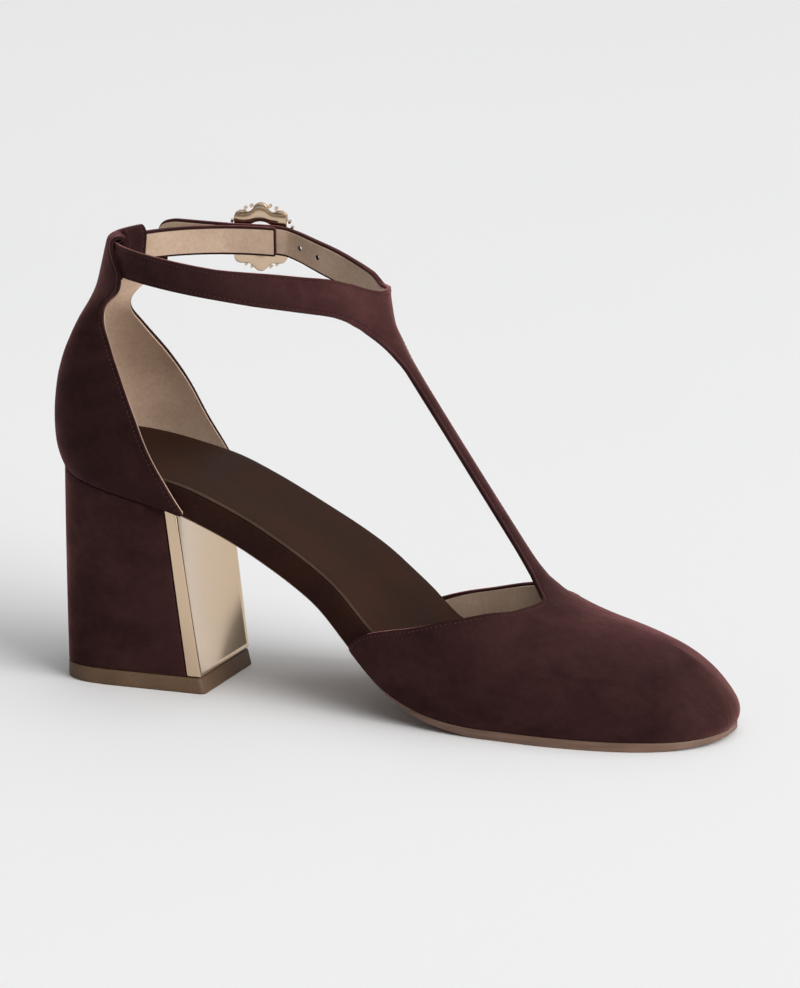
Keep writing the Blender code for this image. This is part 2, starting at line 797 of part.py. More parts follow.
def make_prong(material):
    """The pin hinges on the ring's rear and lies on the strap, with its tip over the punched hole."""
    curve = bpy.data.curves.new("buckle_prong", "CURVE")
    curve.dimensions = "3D"
    curve.bevel_depth = PRONG_THICK * MM / 2
    curve.bevel_resolution = 2
    curve.use_fill_caps = True
    line = curve.splines.new("POLY")
    height = (GAP + PRONG_THICK / 2) * MM
    rear = -(BUCKLE_HOLE - GAP) * MM
    line.points.add(1)
    line.points[0].co = (rear, 0, height, 1)
    line.points[1].co = (rear + PRONG_LENGTH * MM, 0, height, 1)
    prong = bpy.data.objects.new("buckle_prong", curve)
    prong.matrix_world = buckle_frame()
    return place(prong, material)


clear_scene()
SHOE = collection_named("t_bar_pump")
suede = material_named("burgundy suede", (0.042, 0.017, 0.015), 0.95)
cover = material_named("dark insole cover", (0.028, 0.012, 0.009), 0.8)
sock = material_named("brown sock leather", (0.075, 0.04, 0.026), 0.5)
leather = material_named("tan sole leather", (0.2, 0.12, 0.085), 0.6)
rubber = material_named("brown top piece", (0.12, 0.075, 0.05), 0.6)
gold = material_named("pale gold", (0.75, 0.6, 0.42), 0.15, 1.0)
stone = material_named("burgundy stone", (0.16, 0.02, 0.025), 0.05)

make_upper(suede)
make_quarter(suede)
make_slab(
    "insole", SEAT_BACK + INSOLE_EDGE + GAP, TOE_TIP - INSOLE_EDGE - VAMP_DRAFT - GAP,
    (lambda x: INSOLE_EDGE + tuck(x), lambda x: 0.0),
    (lambda x: INSOLE_EDGE + vamp_draft(x), insole_top),
    cover,
)
make_slab(
    "sock_lining", SEAT_BACK + SOCK_EDGE + GAP, TOE_TIP - SOCK_EDGE - VAMP_DRAFT - GAP,
    (lambda x: SOCK_EDGE + vamp_draft(x), lambda x: insole_top(x) + GAP),
    (lambda x: SOCK_EDGE + vamp_draft(x), lambda x: insole_top(x) + GAP + SOCK_THICK),
    sock,
)
make_slab(
    "outsole", breast_x(SOLE.at("height", BREAST_TOP)) + OUTSOLE_START, TOE_TIP - FOREPART_EDGE - GAP,
    (tread_edge, lambda x: -GAP - SOLE.at("outsole", x)),
    (outsole_edge, lambda x: -GAP),
    leather,
)
make_heel(suede)
make_plate(gold)
make_top_piece(rubber)
make_buckle_plate(gold)
make_stones(stone)
make_prong(gold)
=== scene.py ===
# %% [markdown]
# # A suede T-bar pump, dressed over its CAD frame
# The shoe's solids are packed in metres, with the toe along +X, its outer side along +Y and the
# floor at Z = 0. They stay as the frame. This lesson lays finer pieces over them: suede that is cut,
# lined and stitched, a wrapped footbed, a trimmed leather sole, a polished plate and cut stones.

# %% Load the frame
import math

import bmesh
import bpy
from mathutils import Matrix, Vector
from mathutils.bvhtree import BVHTree
from mathutils.kdtree import KDTree


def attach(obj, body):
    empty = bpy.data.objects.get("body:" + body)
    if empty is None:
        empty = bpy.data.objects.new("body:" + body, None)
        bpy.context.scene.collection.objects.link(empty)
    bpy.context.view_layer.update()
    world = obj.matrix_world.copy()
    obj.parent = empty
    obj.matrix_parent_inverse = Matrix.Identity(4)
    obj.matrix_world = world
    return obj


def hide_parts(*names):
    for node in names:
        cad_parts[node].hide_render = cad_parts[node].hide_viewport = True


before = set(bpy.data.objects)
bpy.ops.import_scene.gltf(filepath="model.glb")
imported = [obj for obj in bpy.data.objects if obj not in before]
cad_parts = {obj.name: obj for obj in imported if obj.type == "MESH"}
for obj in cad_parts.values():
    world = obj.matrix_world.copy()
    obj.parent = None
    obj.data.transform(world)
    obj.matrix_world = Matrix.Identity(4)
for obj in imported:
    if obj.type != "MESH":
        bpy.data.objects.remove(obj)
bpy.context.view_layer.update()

print("frame nodes:", len(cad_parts))

# %% [markdown]
# ## The last, in tables
# A shoemaker works from a last and from card patterns. Here the last is a few tables of millimetres, the
# same sizes that drive the solids: the sole's line, the widths, the ridge of the vamp and the cut edges.
# A smooth curve that never overshoots reads between the rows. Tables are chosen over drawn points because
# every finer piece can then ask for its own place on the same surface.

# %% A table of sizes that is read by a smooth curve
MM = 0.001
CENTRE = Vector((111.54, 0.36, 0.0))


class Table:
    def __init__(self, columns, rows):
        self.keys = [row[0] for row in rows]
        self.values = {name: [row[i] for row in rows] for i, name in enumerate(columns)}
        self.slopes = {name: self.slopes_of(values) for name, values in self.values.items()}

    def slopes_of(self, values):
        spans = [end - start for start, end in zip(self.keys, self.keys[1:])]
        rates = [(end - start) / span for start, end, span in zip(values, values[1:], spans)]
        inner = [2 * a * b / (a + b) if a * b > 0 else 0.0 for a, b in zip(rates, rates[1:])]
        return [rates[0]] + inner + [rates[-1]]

    def at(self, name, key):
        key = min(max(key, self.keys[0]), self.keys[-1])
        i = max(k for k in range(len(self.keys) - 1) if self.keys[k] <= key)
        values, slopes = self.values[name], self.slopes[name]
        span = self.keys[i + 1] - self.keys[i]
        t = (key - self.keys[i]) / span
        rise = values[i + 1] - values[i]
        start, end = slopes[i] * span, slopes[i + 1] * span
        return values[i] + t * (start + t * (3 * rise - 2 * start - end + t * (start + end - 2 * rise)))


def metres(point):
    return (point - CENTRE) * MM


def blend(a, b, t):
    return a + (b - a) * t


def ease(value, start, end):
    t = min(max((value - start) / (end - start), 0.0), 1.0)
    return t * t * (3 - 2 * t)


def steps(start, end, count):
    return [blend(start, end, i / count) for i in range(count + 1)]


# %% The sole's line, the widths and the ridge of the vamp
SOLE = Table(
    ("x", "height", "outsole"),
    [(0, 68.4, 1.2), (8, 66.2, 1.2), (20, 63.8, 1.2), (36, 60.5, 1.2), (47, 57.9, 1.2), (56, 54.3, 1.2),
     (74, 45.0, 1.2), (92, 33.7, 1.2), (104, 22.7, 1.2), (116, 12.0, 1.3), (124, 7.8, 1.5), (132, 5.2, 1.9),
     (142, 3.7, 2.4), (152, 3.2, 2.75), (164, 3.2, 2.9), (200, 3.2, 2.9), (211, 3.1, 2.4), (224, 3.5, 1.5)],
)
PLAN = Table(
    ("x", "medial", "lateral"),
    [(34, 25.0, 25.0), (50, 24.4, 25.2), (70, 22.8, 26.2), (90, 23.8, 28.8), (110, 28.4, 33.4),
     (130, 34.2, 37.4), (150, 37.6, 39.0), (166, 38.4, 39.0)],
)
RIDGE = Table(
    ("x", "height"),
    [(100, 126.0), (130, 83.6), (152, 52.8), (159, 42.4), (163, 38.9), (173, 34.6), (188, 30.6),
     (196, 28.5), (202, 26.2)],
)
SECTION = Table(
    ("x", "medial", "lateral", "swell_medial", "swell_lateral"),
    [(105, 2.15, 1.90, 1.6, 1.2), (150, 2.15, 1.90, 1.6, 1.0), (165, 2.10, 1.75, 1.5, 0.6),
     (185, 2.05, 1.90, 1.2, 0.4), (202, 2.00, 2.00, 0.6, 0.6)],
)
TOPLINE = Table(
    ("climb", "medial", "lateral"),
    [(0.00, 104.6, 106.0), (0.03, 107.4, 108.6), (0.09, 114.4, 115.0), (0.14, 121.4, 121.6),
     (0.21, 131.0, 132.0), (0.38, 146.6, 149.6), (0.54, 154.8, 157.8), (0.68, 159.2, 161.2),
     (0.86, 162.8, 163.0), (1.00, 163.4, 163.4)],
)
TBAR_CLIMB = 0.86

# %% The T-bar, the ankle strap, its free tail and the heel quarter
TBAR = Table(
    ("row", "x", "height", "half"),
    [(1, 160.2, 41.6, 5.6), (2, 157.0, 45.6, 4.2), (3, 151.6, 53.3, 3.5), (5, 129.6, 85.2, 3.2),
     (7, 117.2, 103.6, 3.5), (8, 114.1, 108.6, 5.1), (9, 112.0, 113.2, 8.2), (10, 110.3, 117.5, 12.5),
     (13, 108.5, 127.8, 25.4)],
)
ARM_ROW = 10
TOP_ROW = 13
STRAP = Table(
    ("angle", "height", "half", "lean"),
    [(21, 122.5, 8.0, 10.0), (27, 124.7, 6.85, 9.5), (33, 126.5, 6.0, 9.0), (40, 128.2, 5.75, 8.0),
     (50, 129.4, 5.5, 6.0), (65, 130.9, 5.25, 4.0), (90, 132.4, 4.6, 3.0), (130, 133.3, 4.55, 6.0),
     (180, 132.5, 4.6, 14.0)],
)
TAIL = Table(
    ("angle", "outward", "width"),
    [(21, 0.0, 1.0), (70, 0.0, 1.0), (92, 2.1, 1.0), (114, 2.2, 1.0), (125, 4.3, 1.0), (136, 8.2, 0.98),
     (139, 9.4, 0.86), (141, 10.3, 0.62), (142, 10.7, 0.30)],
)
QUARTER = Table(
    ("height", "back", "centre", "half", "front"),
    [(67.6, 3.2, 34.0, 25.0, 50.8), (70.6, 1.6, 33.2, 25.8, 48.4), (75.8, 0.4, 32.0, 26.2, 44.4),
     (83.0, 0.0, 31.0, 25.4, 38.6), (92.0, 0.6, 29.0, 23.4, 33.1), (100.0, 2.1, 27.0, 19.8, 27.7),
     (108.0, 5.0, 24.0, 14.8, 22.0), (115.5, 8.6, 21.0, 10.8, 17.9), (126.0, 12.8, 21.0, 9.2, 20.0)],
)
print("tables of the last:", len(SOLE.keys), "sole stations,", len(QUARTER.keys), "quarter levels")

# %% [markdown]
# ## Places on the last
# These functions turn a station along the shoe into a point of its surface. The vamp's sections stand
# across the shoe and fan out round the toe, so that the toe closes like a real one, without a pinch.

# %% The outline of the sole
TOE_TIP = 223.8
TOE_SHIFT = 6.0
TOE_ROUND = {-1: 2.2, 1: 2.05}
TOE_START = {-1: 166.0, 1: 150.0}
SEAT_BACK = 3.2
SEAT_CENTRE = 34.0
SEAT_ROUND = 2.3
SIDE_NAME = {-1: "medial", 1: "lateral"}


def toe_axis(x):
    return -TOE_SHIFT * max(0.0, (x - TOE_START[1]) / (TOE_TIP - TOE_START[1])) ** 2


def half_width(x, side, inset):
    start, power = TOE_START[side], TOE_ROUND[side]
    if x < SEAT_CENTRE:
        share = min(1.0, (SEAT_CENTRE - x) / (SEAT_CENTRE - SEAT_BACK - inset))
        return (PLAN.at(SIDE_NAME[side], SEAT_CENTRE) - inset) * (1 - share**SEAT_ROUND) ** (1 / SEAT_ROUND)
    if x > start:
        share = min(1.0, (x - start) / (TOE_TIP - start - inset))
        return (PLAN.at(SIDE_NAME[side], start) - inset) * (1 - share**power) ** (1 / power)
    return PLAN.at(SIDE_NAME[side], x) - inset


def edge_y(x, side, inset):
    return toe_axis(x) + side * half_width(x, side, inset)


# %% The outside of the vamp
RIDGE_END = 202.0
TUCK, TUCK_FADE, TUCK_CLIMB = 1.6, (112.0, 140.0), 0.3


def toe_station(ridge_x, side):
    start = TOE_START[side]
    if ridge_x <= start:
        return Vector((ridge_x, edge_y(ridge_x, side, 0), 0))
    power = 2 / TOE_ROUND[side]
    turn = math.acos(min(1.0, (ridge_x - start) / (RIDGE_END - start)))
    x = start + (TOE_TIP - start) * math.cos(turn) ** power
    half = PLAN.at(SIDE_NAME[side], start) * math.sin(turn) ** power
    return Vector((x, toe_axis(x) + side * half, 0))


def tuck(x):
    """Round the forepart the upper is drawn in where it meets the sole."""
    return TUCK * ease(x, *TUCK_FADE)


def upper_point(ridge_x, climb, side):
    base = toe_station(ridge_x, side)
    base.z = SOLE.at("height", base.x)
    top = Vector((ridge_x, toe_axis(ridge_x), RIDGE.at("height", ridge_x)))
    turn = climb * math.pi / 2
    power = 2 / SECTION.at(SIDE_NAME[side], ridge_x)
    swell = SECTION.at("swell_" + SIDE_NAME[side], ridge_x) * math.sin(2 * turn)
    out = Vector((base.x - top.x, base.y - top.y, 0))
    tucked = tuck(ridge_x) * (1 - min(1.0, climb / TUCK_CLIMB)) ** 2
    reach = out.length * max(0.0, math.cos(turn)) ** power + swell - tucked
    fall = RIDGE.at("height", ridge_x) - RIDGE.at("height", ridge_x - 1)
    follow = fall * out.normalized().x * reach * math.sin(turn)
    rise = (top.z - base.z) * math.sin(turn) ** power + follow
    return Vector((top.x, top.y, base.z)) + out.normalized() * reach + Vector((0, 0, rise))


def station(x):
    span = RIDGE_END - TOE_START[1]
    if x <= TOE_START[1]:
        return x
    return TOE_START[1] + span * math.asin(min(1.0, (x - TOE_START[1]) / span))


def station_x(length):
    span = RIDGE_END - TOE_START[1]
    if length <= TOE_START[1]:
        return length
    return TOE_START[1] + span * math.sin((length - TOE_START[1]) / span)


# %% The loop of the ankle strap and the T-bar
LOOP_CENTRE = 63.0
LOOP_FRONT = 46.4
LOOP_BACK = 45.8
LOOP_HALF = 31.5
LOOP_FRONT_ROUND = 1.7
LOOP_BACK_ROUND = 1.6
LATERAL_DROP, DROP_FADE = 4.8, (40.0, 100.0)
JUNCTION_HALF = 12.5
JUNCTION_LIFT_LOW = 0.8
JUNCTION_LIFT_TOP = 4.0
TBAR_CROWN = 0.4


def loop_point(angle, outward, up):
    mirrored = min(angle, 360 - angle)
    drop = LATERAL_DROP * (1 - ease(mirrored, *DROP_FADE)) if angle > 180 else 0.0
    turn = math.radians(angle)
    front = math.cos(turn) > 0
    power = 2 / (LOOP_FRONT_ROUND if front else LOOP_BACK_ROUND)
    reach = LOOP_FRONT if front else -LOOP_BACK
    x = LOOP_CENTRE + reach * abs(math.cos(turn)) ** power
    y = math.copysign(LOOP_HALF * abs(math.sin(turn)) ** power, -math.sin(turn))
    flat_x = abs(math.cos(turn)) ** (2 - power) / reach
    flat_y = math.copysign(abs(math.sin(turn)) ** (2 - power), y) / LOOP_HALF
    flat = Vector((flat_x, flat_y, 0)).normalized()
    lean = math.radians(STRAP.at("lean", mirrored))
    upward = Vector((0, 0, math.cos(lean))) - flat * math.sin(lean)
    normal = flat * math.cos(lean) + Vector((0, 0, math.sin(lean)))
    return Vector((x, y, STRAP.at("height", mirrored) - drop)) + normal * outward + upward * up


def tbar_point(row, across):
    y = min(TBAR.at("half", row), JUNCTION_HALF) * across
    share = (abs(y) / LOOP_HALF) ** LOOP_FRONT_ROUND
    sag = LOOP_FRONT * (1 - (1 - share) ** (1 / LOOP_FRONT_ROUND))
    raised = ease(row, ARM_ROW - 3, ARM_ROW) * (abs(y) / JUNCTION_HALF) ** 2
    lift = raised * blend(JUNCTION_LIFT_LOW, JUNCTION_LIFT_TOP, ease(row, ARM_ROW, TOP_ROW))
    lift -= raised * LATERAL_DROP if y > 0 else 0.0
    crown = TBAR_CROWN * ease(row, 1, 3) * across * across
    return Vector((TBAR.at("x", row) - sag, y, TBAR.at("height", row) + lift - crown))


# %% [markdown]
# ## Tools of the bench
# Every sheet starts as a grid primitive. Its points carry their own place in the pattern, from 0 to 1 both
# ways, and are moved onto the last by one function. Sheets that share an edge are joined and welded, so
# that a single Subdivision Surface runs smoothly across the join.

# %% Select, shape, weld and apply
WELD_REACH = 0.01


def only(*pieces):
    bpy.ops.object.select_all(action="DESELECT")
    for piece in pieces:
        piece.select_set(True)
    bpy.context.view_layer.objects.active = pieces[0]


def started(name, primitive, **settings):
    """Adds one primitive, with nothing else selected, and names it."""
    bpy.ops.object.select_all(action="DESELECT")
    primitive(**settings)
    piece = bpy.context.active_object
    piece.name = name
    return piece


def shaped_grid(name, columns, rows, place):
    cells = {"x_subdivisions": columns, "y_subdivisions": rows}
    piece = started(name, bpy.ops.mesh.primitive_grid_add, size=1, **cells)
    for vert in piece.data.vertices:
        vert.co = metres(place(vert.co.x + 0.5, vert.co.y + 0.5))
    return piece


def edit(piece, *operators):
    """Runs operators on the whole piece in edit mode, each given as (operator, settings)."""
    only(piece)
    bpy.ops.object.mode_set(mode="EDIT")
    bpy.ops.mesh.select_all(action="SELECT")
    for operator, settings in operators:
        operator(**settings)
    bpy.ops.object.mode_set(mode="OBJECT")


def edit_faces(piece, wanted, *operators):
    """Runs operators in edit mode on the faces that the test picks."""
    edit(
        piece,
        (bpy.ops.mesh.select_mode, {"type": "FACE"}),
        (bpy.ops.mesh.select_all, {"action": "DESELECT"}),
    )
    for face in piece.data.polygons:
        face.select = bool(wanted(face))
    bpy.ops.object.mode_set(mode="EDIT")
    for operator, settings in operators:
        operator(**settings)
    bpy.ops.mesh.select_mode(type="VERT")
    bpy.ops.object.mode_set(mode="OBJECT")


def close_rim(piece, operator):
    """Runs an operator on the open edges of a piece, then turns all its faces outwards."""
    edit(
        piece,
        (bpy.ops.mesh.select_mode, {"type": "EDGE"}),
        (bpy.ops.mesh.select_all, {"action": "DESELECT"}),
        (bpy.ops.mesh.select_non_manifold, {}),
        (operator, {}),
        (bpy.ops.mesh.select_all, {"action": "SELECT"}),
        (bpy.ops.mesh.normals_make_consistent, {"inside": False}),
    )


def weld(piece, *others):
    only(piece, *others)
    if others:
        bpy.ops.object.join()
    edit(
        piece,
        (bpy.ops.mesh.remove_doubles, {"threshold": WELD_REACH * MM}),
        (bpy.ops.mesh.normals_make_consistent, {"inside": False}),
    )
    return piece


def modify(piece, kind, **settings):
    only(piece)
    made = piece.modifiers.new(kind.title(), kind)
    for name, value in settings.items():
        setattr(made, name, value)
    bpy.ops.object.modifier_apply(modifier=made.name)


def soften(piece, width, segments=2, angle=50):
    """Bevels the edges that are sharper than the angle."""
    limit = {"limit_method": "ANGLE", "angle_limit": math.radians(angle)}
    modify(piece, "BEVEL", width=width * MM, segments=segments, **limit)


def face_away(piece, inside):
    """Turns a sheet so that its lowest face looks away from a point inside the shoe."""
    face = min(piece.data.polygons, key=lambda f: f.center.z)
    if face.normal.dot(face.center - inside) < 0:
        edit(piece, (bpy.ops.mesh.flip_normals, {}))


def twin(piece, name):
    made = piece.copy()
    made.data = piece.data.copy()
    made.name = name
    bpy.context.scene.collection.objects.link(made)
    return made


def dress(piece, slot, *materials, nodes=(), smooth=40):
    """Puts the finish on a piece, shades it and hangs it on the shoe."""
    piece.data.name = piece.name
    piece.data.materials.clear()
    for material in materials:
        piece.data.materials.append(material)
    only(piece)
    bpy.ops.object.shade_smooth_by_angle(angle=math.radians(smooth))
    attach(piece, "root")
    if nodes:
        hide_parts(*nodes)
    print(piece.name, len(piece.data.polygons), "faces")


# %% [markdown]
# ## The upper's suede
# The vamp, the T-bar and both arms of the ankle strap are cut from one piece of suede. So four grids, one
# for each, are placed on the last and welded along the edges that they share. A real maker would cut it
# flat and pull it over the last; the tables already hold the pulled shape, so the sheet is placed directly.
# Where the grids meet, and where the tables leave a ridge over the toe, a Smooth modifier eases the sheet.

# %% Four grids of the upper
ROOT_CELLS = 4
SIDE_CELLS = 22
VAMP_ROWS = 56
COLUMN_CROWD = 0.92
ARM_CELLS = 6
BAR_ROOT, BAR_CELLS = [0.0, 0.35, 0.7], 42
BAR_ROWS = BAR_ROOT + steps(1, ARM_ROW, BAR_CELLS)[:-1] + steps(ARM_ROW, TOP_ROW, ARM_CELLS)
JOINT_ANGLE = math.degrees(math.asin((JUNCTION_HALF / LOOP_HALF) ** (LOOP_FRONT_ROUND / 2)))
REAR_END, REAR_CELLS = 262.0, 110
REAR_ANGLES = steps(JOINT_ANGLE, REAR_END, REAR_CELLS)
TAIL_ROUND, TAIL_END, HOLED_CELLS, TAIL_CELLS = 136.0, 142.0, 54, 10
HOLED_ANGLES = steps(JOINT_ANGLE, TAIL_ROUND, HOLED_CELLS)[:-1] + steps(TAIL_ROUND, TAIL_END, TAIL_CELLS)


def climb_of(step):
    if step <= ROOT_CELLS:
        return 1 - (1 - TBAR_CLIMB) * step / ROOT_CELLS
    return TBAR_CLIMB * (1 - (step - ROOT_CELLS) / SIDE_CELLS) ** COLUMN_CROWD


def vamp_place(u, v):
    step = round((2 * u - 1) * (ROOT_CELLS + SIDE_CELLS))
    side = -1 if step < 0 else 1
    climb = climb_of(abs(step))
    start = station(TOPLINE.at(SIDE_NAME[side], climb))
    return upper_point(station_x(blend(start, station(RIDGE_END), v)), climb, side)


def tbar_place(u, v):
    across = 2 * u - 1
    row = BAR_ROWS[round(v * (len(BAR_ROWS) - 1))]
    if row >= 1:
        return tbar_point(row, across)
    side = -1 if across < 0 else 1
    climb = climb_of(round(abs(across) * ROOT_CELLS))
    root = upper_point(TOPLINE.at(SIDE_NAME[side], climb), climb, side)
    return root.lerp(tbar_point(1, across), row)


def rear_arm_place(u, v):
    turn = round(v * (len(REAR_ANGLES) - 1))
    if turn == 0:
        return tbar_point(blend(ARM_ROW, TOP_ROW, u), -1)
    angle = REAR_ANGLES[turn]
    half = STRAP.at("half", min(angle, 360 - angle))
    return loop_point(angle, 0, blend(-half, half, u))


def holed_arm_place(u, v):
    turn = round(v * (len(HOLED_ANGLES) - 1))
    if turn == 0:
        return tbar_point(blend(ARM_ROW, TOP_ROW, u), 1)
    angle = HOLED_ANGLES[turn]
    half = STRAP.at("half", angle) * TAIL.at("width", angle)
    return loop_point(360 - angle, TAIL.at("outward", angle), blend(-half, half, u))


# %% Weld them into one sheet and smooth it
TOE_INSIDE = Vector((0.06, 0, 0.01))
EASED = {
    "throat": {"centre": (160.5, 0.0, 42.0), "radius": 14.0, "repeat": 8},
    "junction": {"centre": (107.5, 0.0, 122.0), "radius": 24.0, "repeat": 8},
    "toe top": {"centre": (191.0, -1.0, 30.0), "radius": 36.0, "repeat": 60},
}

upper_sheet = weld(
    shaped_grid("suede_upper", 2 * (ROOT_CELLS + SIDE_CELLS), VAMP_ROWS, vamp_place),
    shaped_grid("tbar", 2 * ROOT_CELLS, len(BAR_ROWS) - 1, tbar_place),
    shaped_grid("rear_arm", ARM_CELLS, len(REAR_ANGLES) - 1, rear_arm_place),
    shaped_grid("holed_arm", ARM_CELLS, len(HOLED_ANGLES) - 1, holed_arm_place),
)
face_away(upper_sheet, TOE_INSIDE)


def open_points(piece):
    """The points on the open edge of a sheet."""
    uses = {}
    for face in piece.data.polygons:
        for key in face.edge_keys:
            uses[key] = uses.get(key, 0) + 1
    return {point for key, count in uses.items() if count == 1 for point in key}


def relax(piece, centre, radius, repeat):
    """Eases a crease or a ridge: near points are smoothed, but the open edge is held."""
    held = open_points(piece)
    middle = metres(Vector(centre))
    near = piece.vertex_groups.new(name="near")
    for vert in piece.data.vertices:
        share = 1 - ease((vert.co - middle).length / MM, radius / 3, radius)
        if vert.index not in held and share > 0:
            near.add([vert.index], share, "REPLACE")
    modify(piece, "SMOOTH", factor=0.5, iterations=repeat, vertex_group=near.name)
    piece.vertex_groups.clear()


for spot in EASED.values():
    relax(upper_sheet, **spot)
print("upper sheet:", len(upper_sheet.data.polygons), "cells, eased at", ", ".join(EASED))

# %% [markdown]
# ## Creases of the flex
# Suede keeps soft marks where the shoe bends. Each one is a line on the vamp with a width and a depth,
# given where the shoe shows a change of tone: beside the throat, across the ball and low along the sole.
# Points near a line sink along their own normal, or rise where the depth is negative.

# %% Press the creases into the vamp
CREASES = [
    {"side": -1, "x": (140, 152), "climb": (0.14, 0.32), "width": 4.5, "depth": 0.40},
    {"side": -1, "x": (146, 160), "climb": (0.12, 0.40), "width": 4.0, "depth": -0.30},
    {"side": -1, "x": (153, 168), "climb": (0.10, 0.50), "width": 4.5, "depth": 0.45},
    {"side": -1, "x": (163, 176), "climb": (0.08, 0.62), "width": 5.0, "depth": -0.30},
    {"side": -1, "x": (172, 181), "climb": (0.10, 0.56), "width": 5.0, "depth": 0.30},
    {"side": -1, "x": (122, 200), "climb": (0.07, 0.09), "width": 2.4, "depth": -0.22},
    {"side": 1, "x": (142, 156), "climb": (0.14, 0.34), "width": 4.5, "depth": 0.40},
    {"side": 1, "x": (149, 164), "climb": (0.12, 0.50), "width": 4.0, "depth": -0.30},
    {"side": 1, "x": (156, 172), "climb": (0.10, 0.62), "width": 4.5, "depth": 0.45},
    {"side": 1, "x": (166, 178), "climb": (0.10, 0.60), "width": 5.0, "depth": -0.25},
    {"side": 1, "x": (122, 200), "climb": (0.07, 0.09), "width": 2.4, "depth": -0.22},
]
LINE_POINTS, LINE_ENDS = 60, (0.08, 0.92)
EDGE_HOLD = (1.0, 8.0)
CUT_ABOVE = 1.2


def above_sole(point):
    """Tells a cut edge from the edge that is hidden between upper and sole."""
    return point.z > SOLE.at("height", point.x) + CUT_ABOVE


def tree_of(points):
    tree = KDTree(len(points))
    for i, point in enumerate(points):
        tree.insert(point, i)
    tree.balance()
    return tree


def press(piece, crease, cut_edge):
    ways = [(blend(*crease["x"], t), blend(*crease["climb"], t)) for t in steps(0, 1, LINE_POINTS)]
    line = tree_of([metres(upper_point(x, climb, crease["side"])) for x, climb in ways])
    moves = []
    for vert in piece.data.vertices:
        _, i, away = line.find(vert.co)
        fade = math.sin(math.pi * blend(*LINE_ENDS, i / LINE_POINTS))
        fade *= ease(cut_edge.find(vert.co)[2] / MM, *EDGE_HOLD)
        sink = crease["depth"] * fade * math.exp(-((away / MM / crease["width"]) ** 2))
        moves.append(vert.co - vert.normal * sink * MM)
    for vert, place in zip(piece.data.vertices, moves):
        vert.co = place


edge_points = [upper_sheet.data.vertices[i].co.copy() for i in open_points(upper_sheet)]
upper_cut = tree_of([point for point in edge_points if above_sole(point / MM + CENTRE)])
for crease in CREASES:
    press(upper_sheet, crease, upper_cut)
modify(upper_sheet, "SUBSURF", levels=1, render_levels=1)
print("creases pressed:", len(CREASES), "on", len(upper_sheet.data.vertices), "points")

# %% [markdown]
# ## The cut edge
# Stitching runs a constant distance inside the open edge, so the edge has to be known. It is walked from
# face to face in order, with the direction that leads into the suede at each point. The distance from the
# edge is also kept on the sheet as an attribute, which lets the finish show the pressed line of the seam.

# %% Walk the open edge and measure from it
def edge_walk(sheet):
    """Runs of (point, inward) along the open edge of a sheet, in order."""
    bm = bmesh.new()
    bm.from_mesh(sheet.data)
    first = next(e for e in bm.edges if e.is_boundary).link_loops[0]
    walk, loop = [], first
    while not walk or loop is not first:
        along = (loop.link_loop_next.vert.co - loop.vert.co).normalized()
        walk.append((loop.vert.co.copy(), loop.face.normal.cross(along)))
        loop = loop.link_loop_next
        while not loop.edge.is_boundary:
            loop = loop.link_loop_radial_next.link_loop_next
    bm.free()
    return walk


def sewn_runs(walk, sewn):
    """Cuts the walk into the runs that carry stitches."""
    marks = [sewn(point / MM + CENTRE) for point, _ in walk]
    turn = marks.index(False)
    runs, run = [], []
    for (point, inward), mark in zip(walk[turn:] + walk[:turn], marks[turn:] + marks[:turn]):
        if mark:
            run.append((point, inward))
        elif run:
            runs.append(run)
            run = []
    return runs + ([run] if run else [])


def mark_edge(sheet, runs):
    tree = tree_of([point for run in runs for point, _ in run])
    kept = sheet.data.attributes.new("edge_mm", "FLOAT", "POINT")
    for vert, item in zip(sheet.data.vertices, kept.data):
        item.value = tree.find(vert.co)[2] / MM


upper_runs = sewn_runs(edge_walk(upper_sheet), above_sole)
mark_edge(upper_sheet, upper_runs)
print("sewn runs of the upper:", [len(run) for run in upper_runs])

# %% [markdown]
# ## The quarter
# The heel quarter is a tall cup. Its top narrows to a tab that goes up behind the ankle strap, folds over
# it and comes down inside as a loop. One grid follows the cup, then the tab, then the fold.

# %% The quarter's sheet
TAB_ANGLE = 24.0
TAB_FLARE, FLARE_OUT, FLARE_BACK = 14.0, (-22.0, -7.0), (-4.5, 5.0)
TAB_BLEND_FROM = 112.0
TAB_BLEND_TO = 124.0
FOLD_UP = 4.1
FOLD_INSIDE_DOWN = -6.5
WALL = 1.8
GAP = 0.3
QUARTER_COLUMNS = 44
CUP_ROWS, TAB_ROWS, FOLD_ROWS, INSIDE_ROWS = 30, 9, 12, 6
QUARTER_ROWS = CUP_ROWS + TAB_ROWS + FOLD_ROWS + INSIDE_ROWS
HEEL_INSIDE = Vector((-0.08, 0, 0.07))


def tab_angle(up):
    """Just under the strap the tab's edge hooks forwards; round the strap it is narrower."""
    return TAB_ANGLE + TAB_FLARE * ease(up, *FLARE_OUT) * (1 - ease(up, *FLARE_BACK))


def quarter_point(height, across):
    back, front = QUARTER.at("back", height), QUARTER.at("front", height)
    turn = abs(across) * math.pi / 2
    x = back + (front - back) * (1 - math.cos(turn) ** (2 / SEAT_ROUND))
    share = max(0.0, (QUARTER.at("centre", height) - x) / (QUARTER.at("centre", height) - back))
    y = QUARTER.at("half", height) * (1 - share**SEAT_ROUND) ** (1 / SEAT_ROUND)
    slope = SOLE.at("height", x) - SOLE.at("height", SEAT_BACK)
    settle = 1 - ease(height, QUARTER.keys[0], TAB_BLEND_TO)
    return Vector((x, math.copysign(y, across), height + slope * settle))


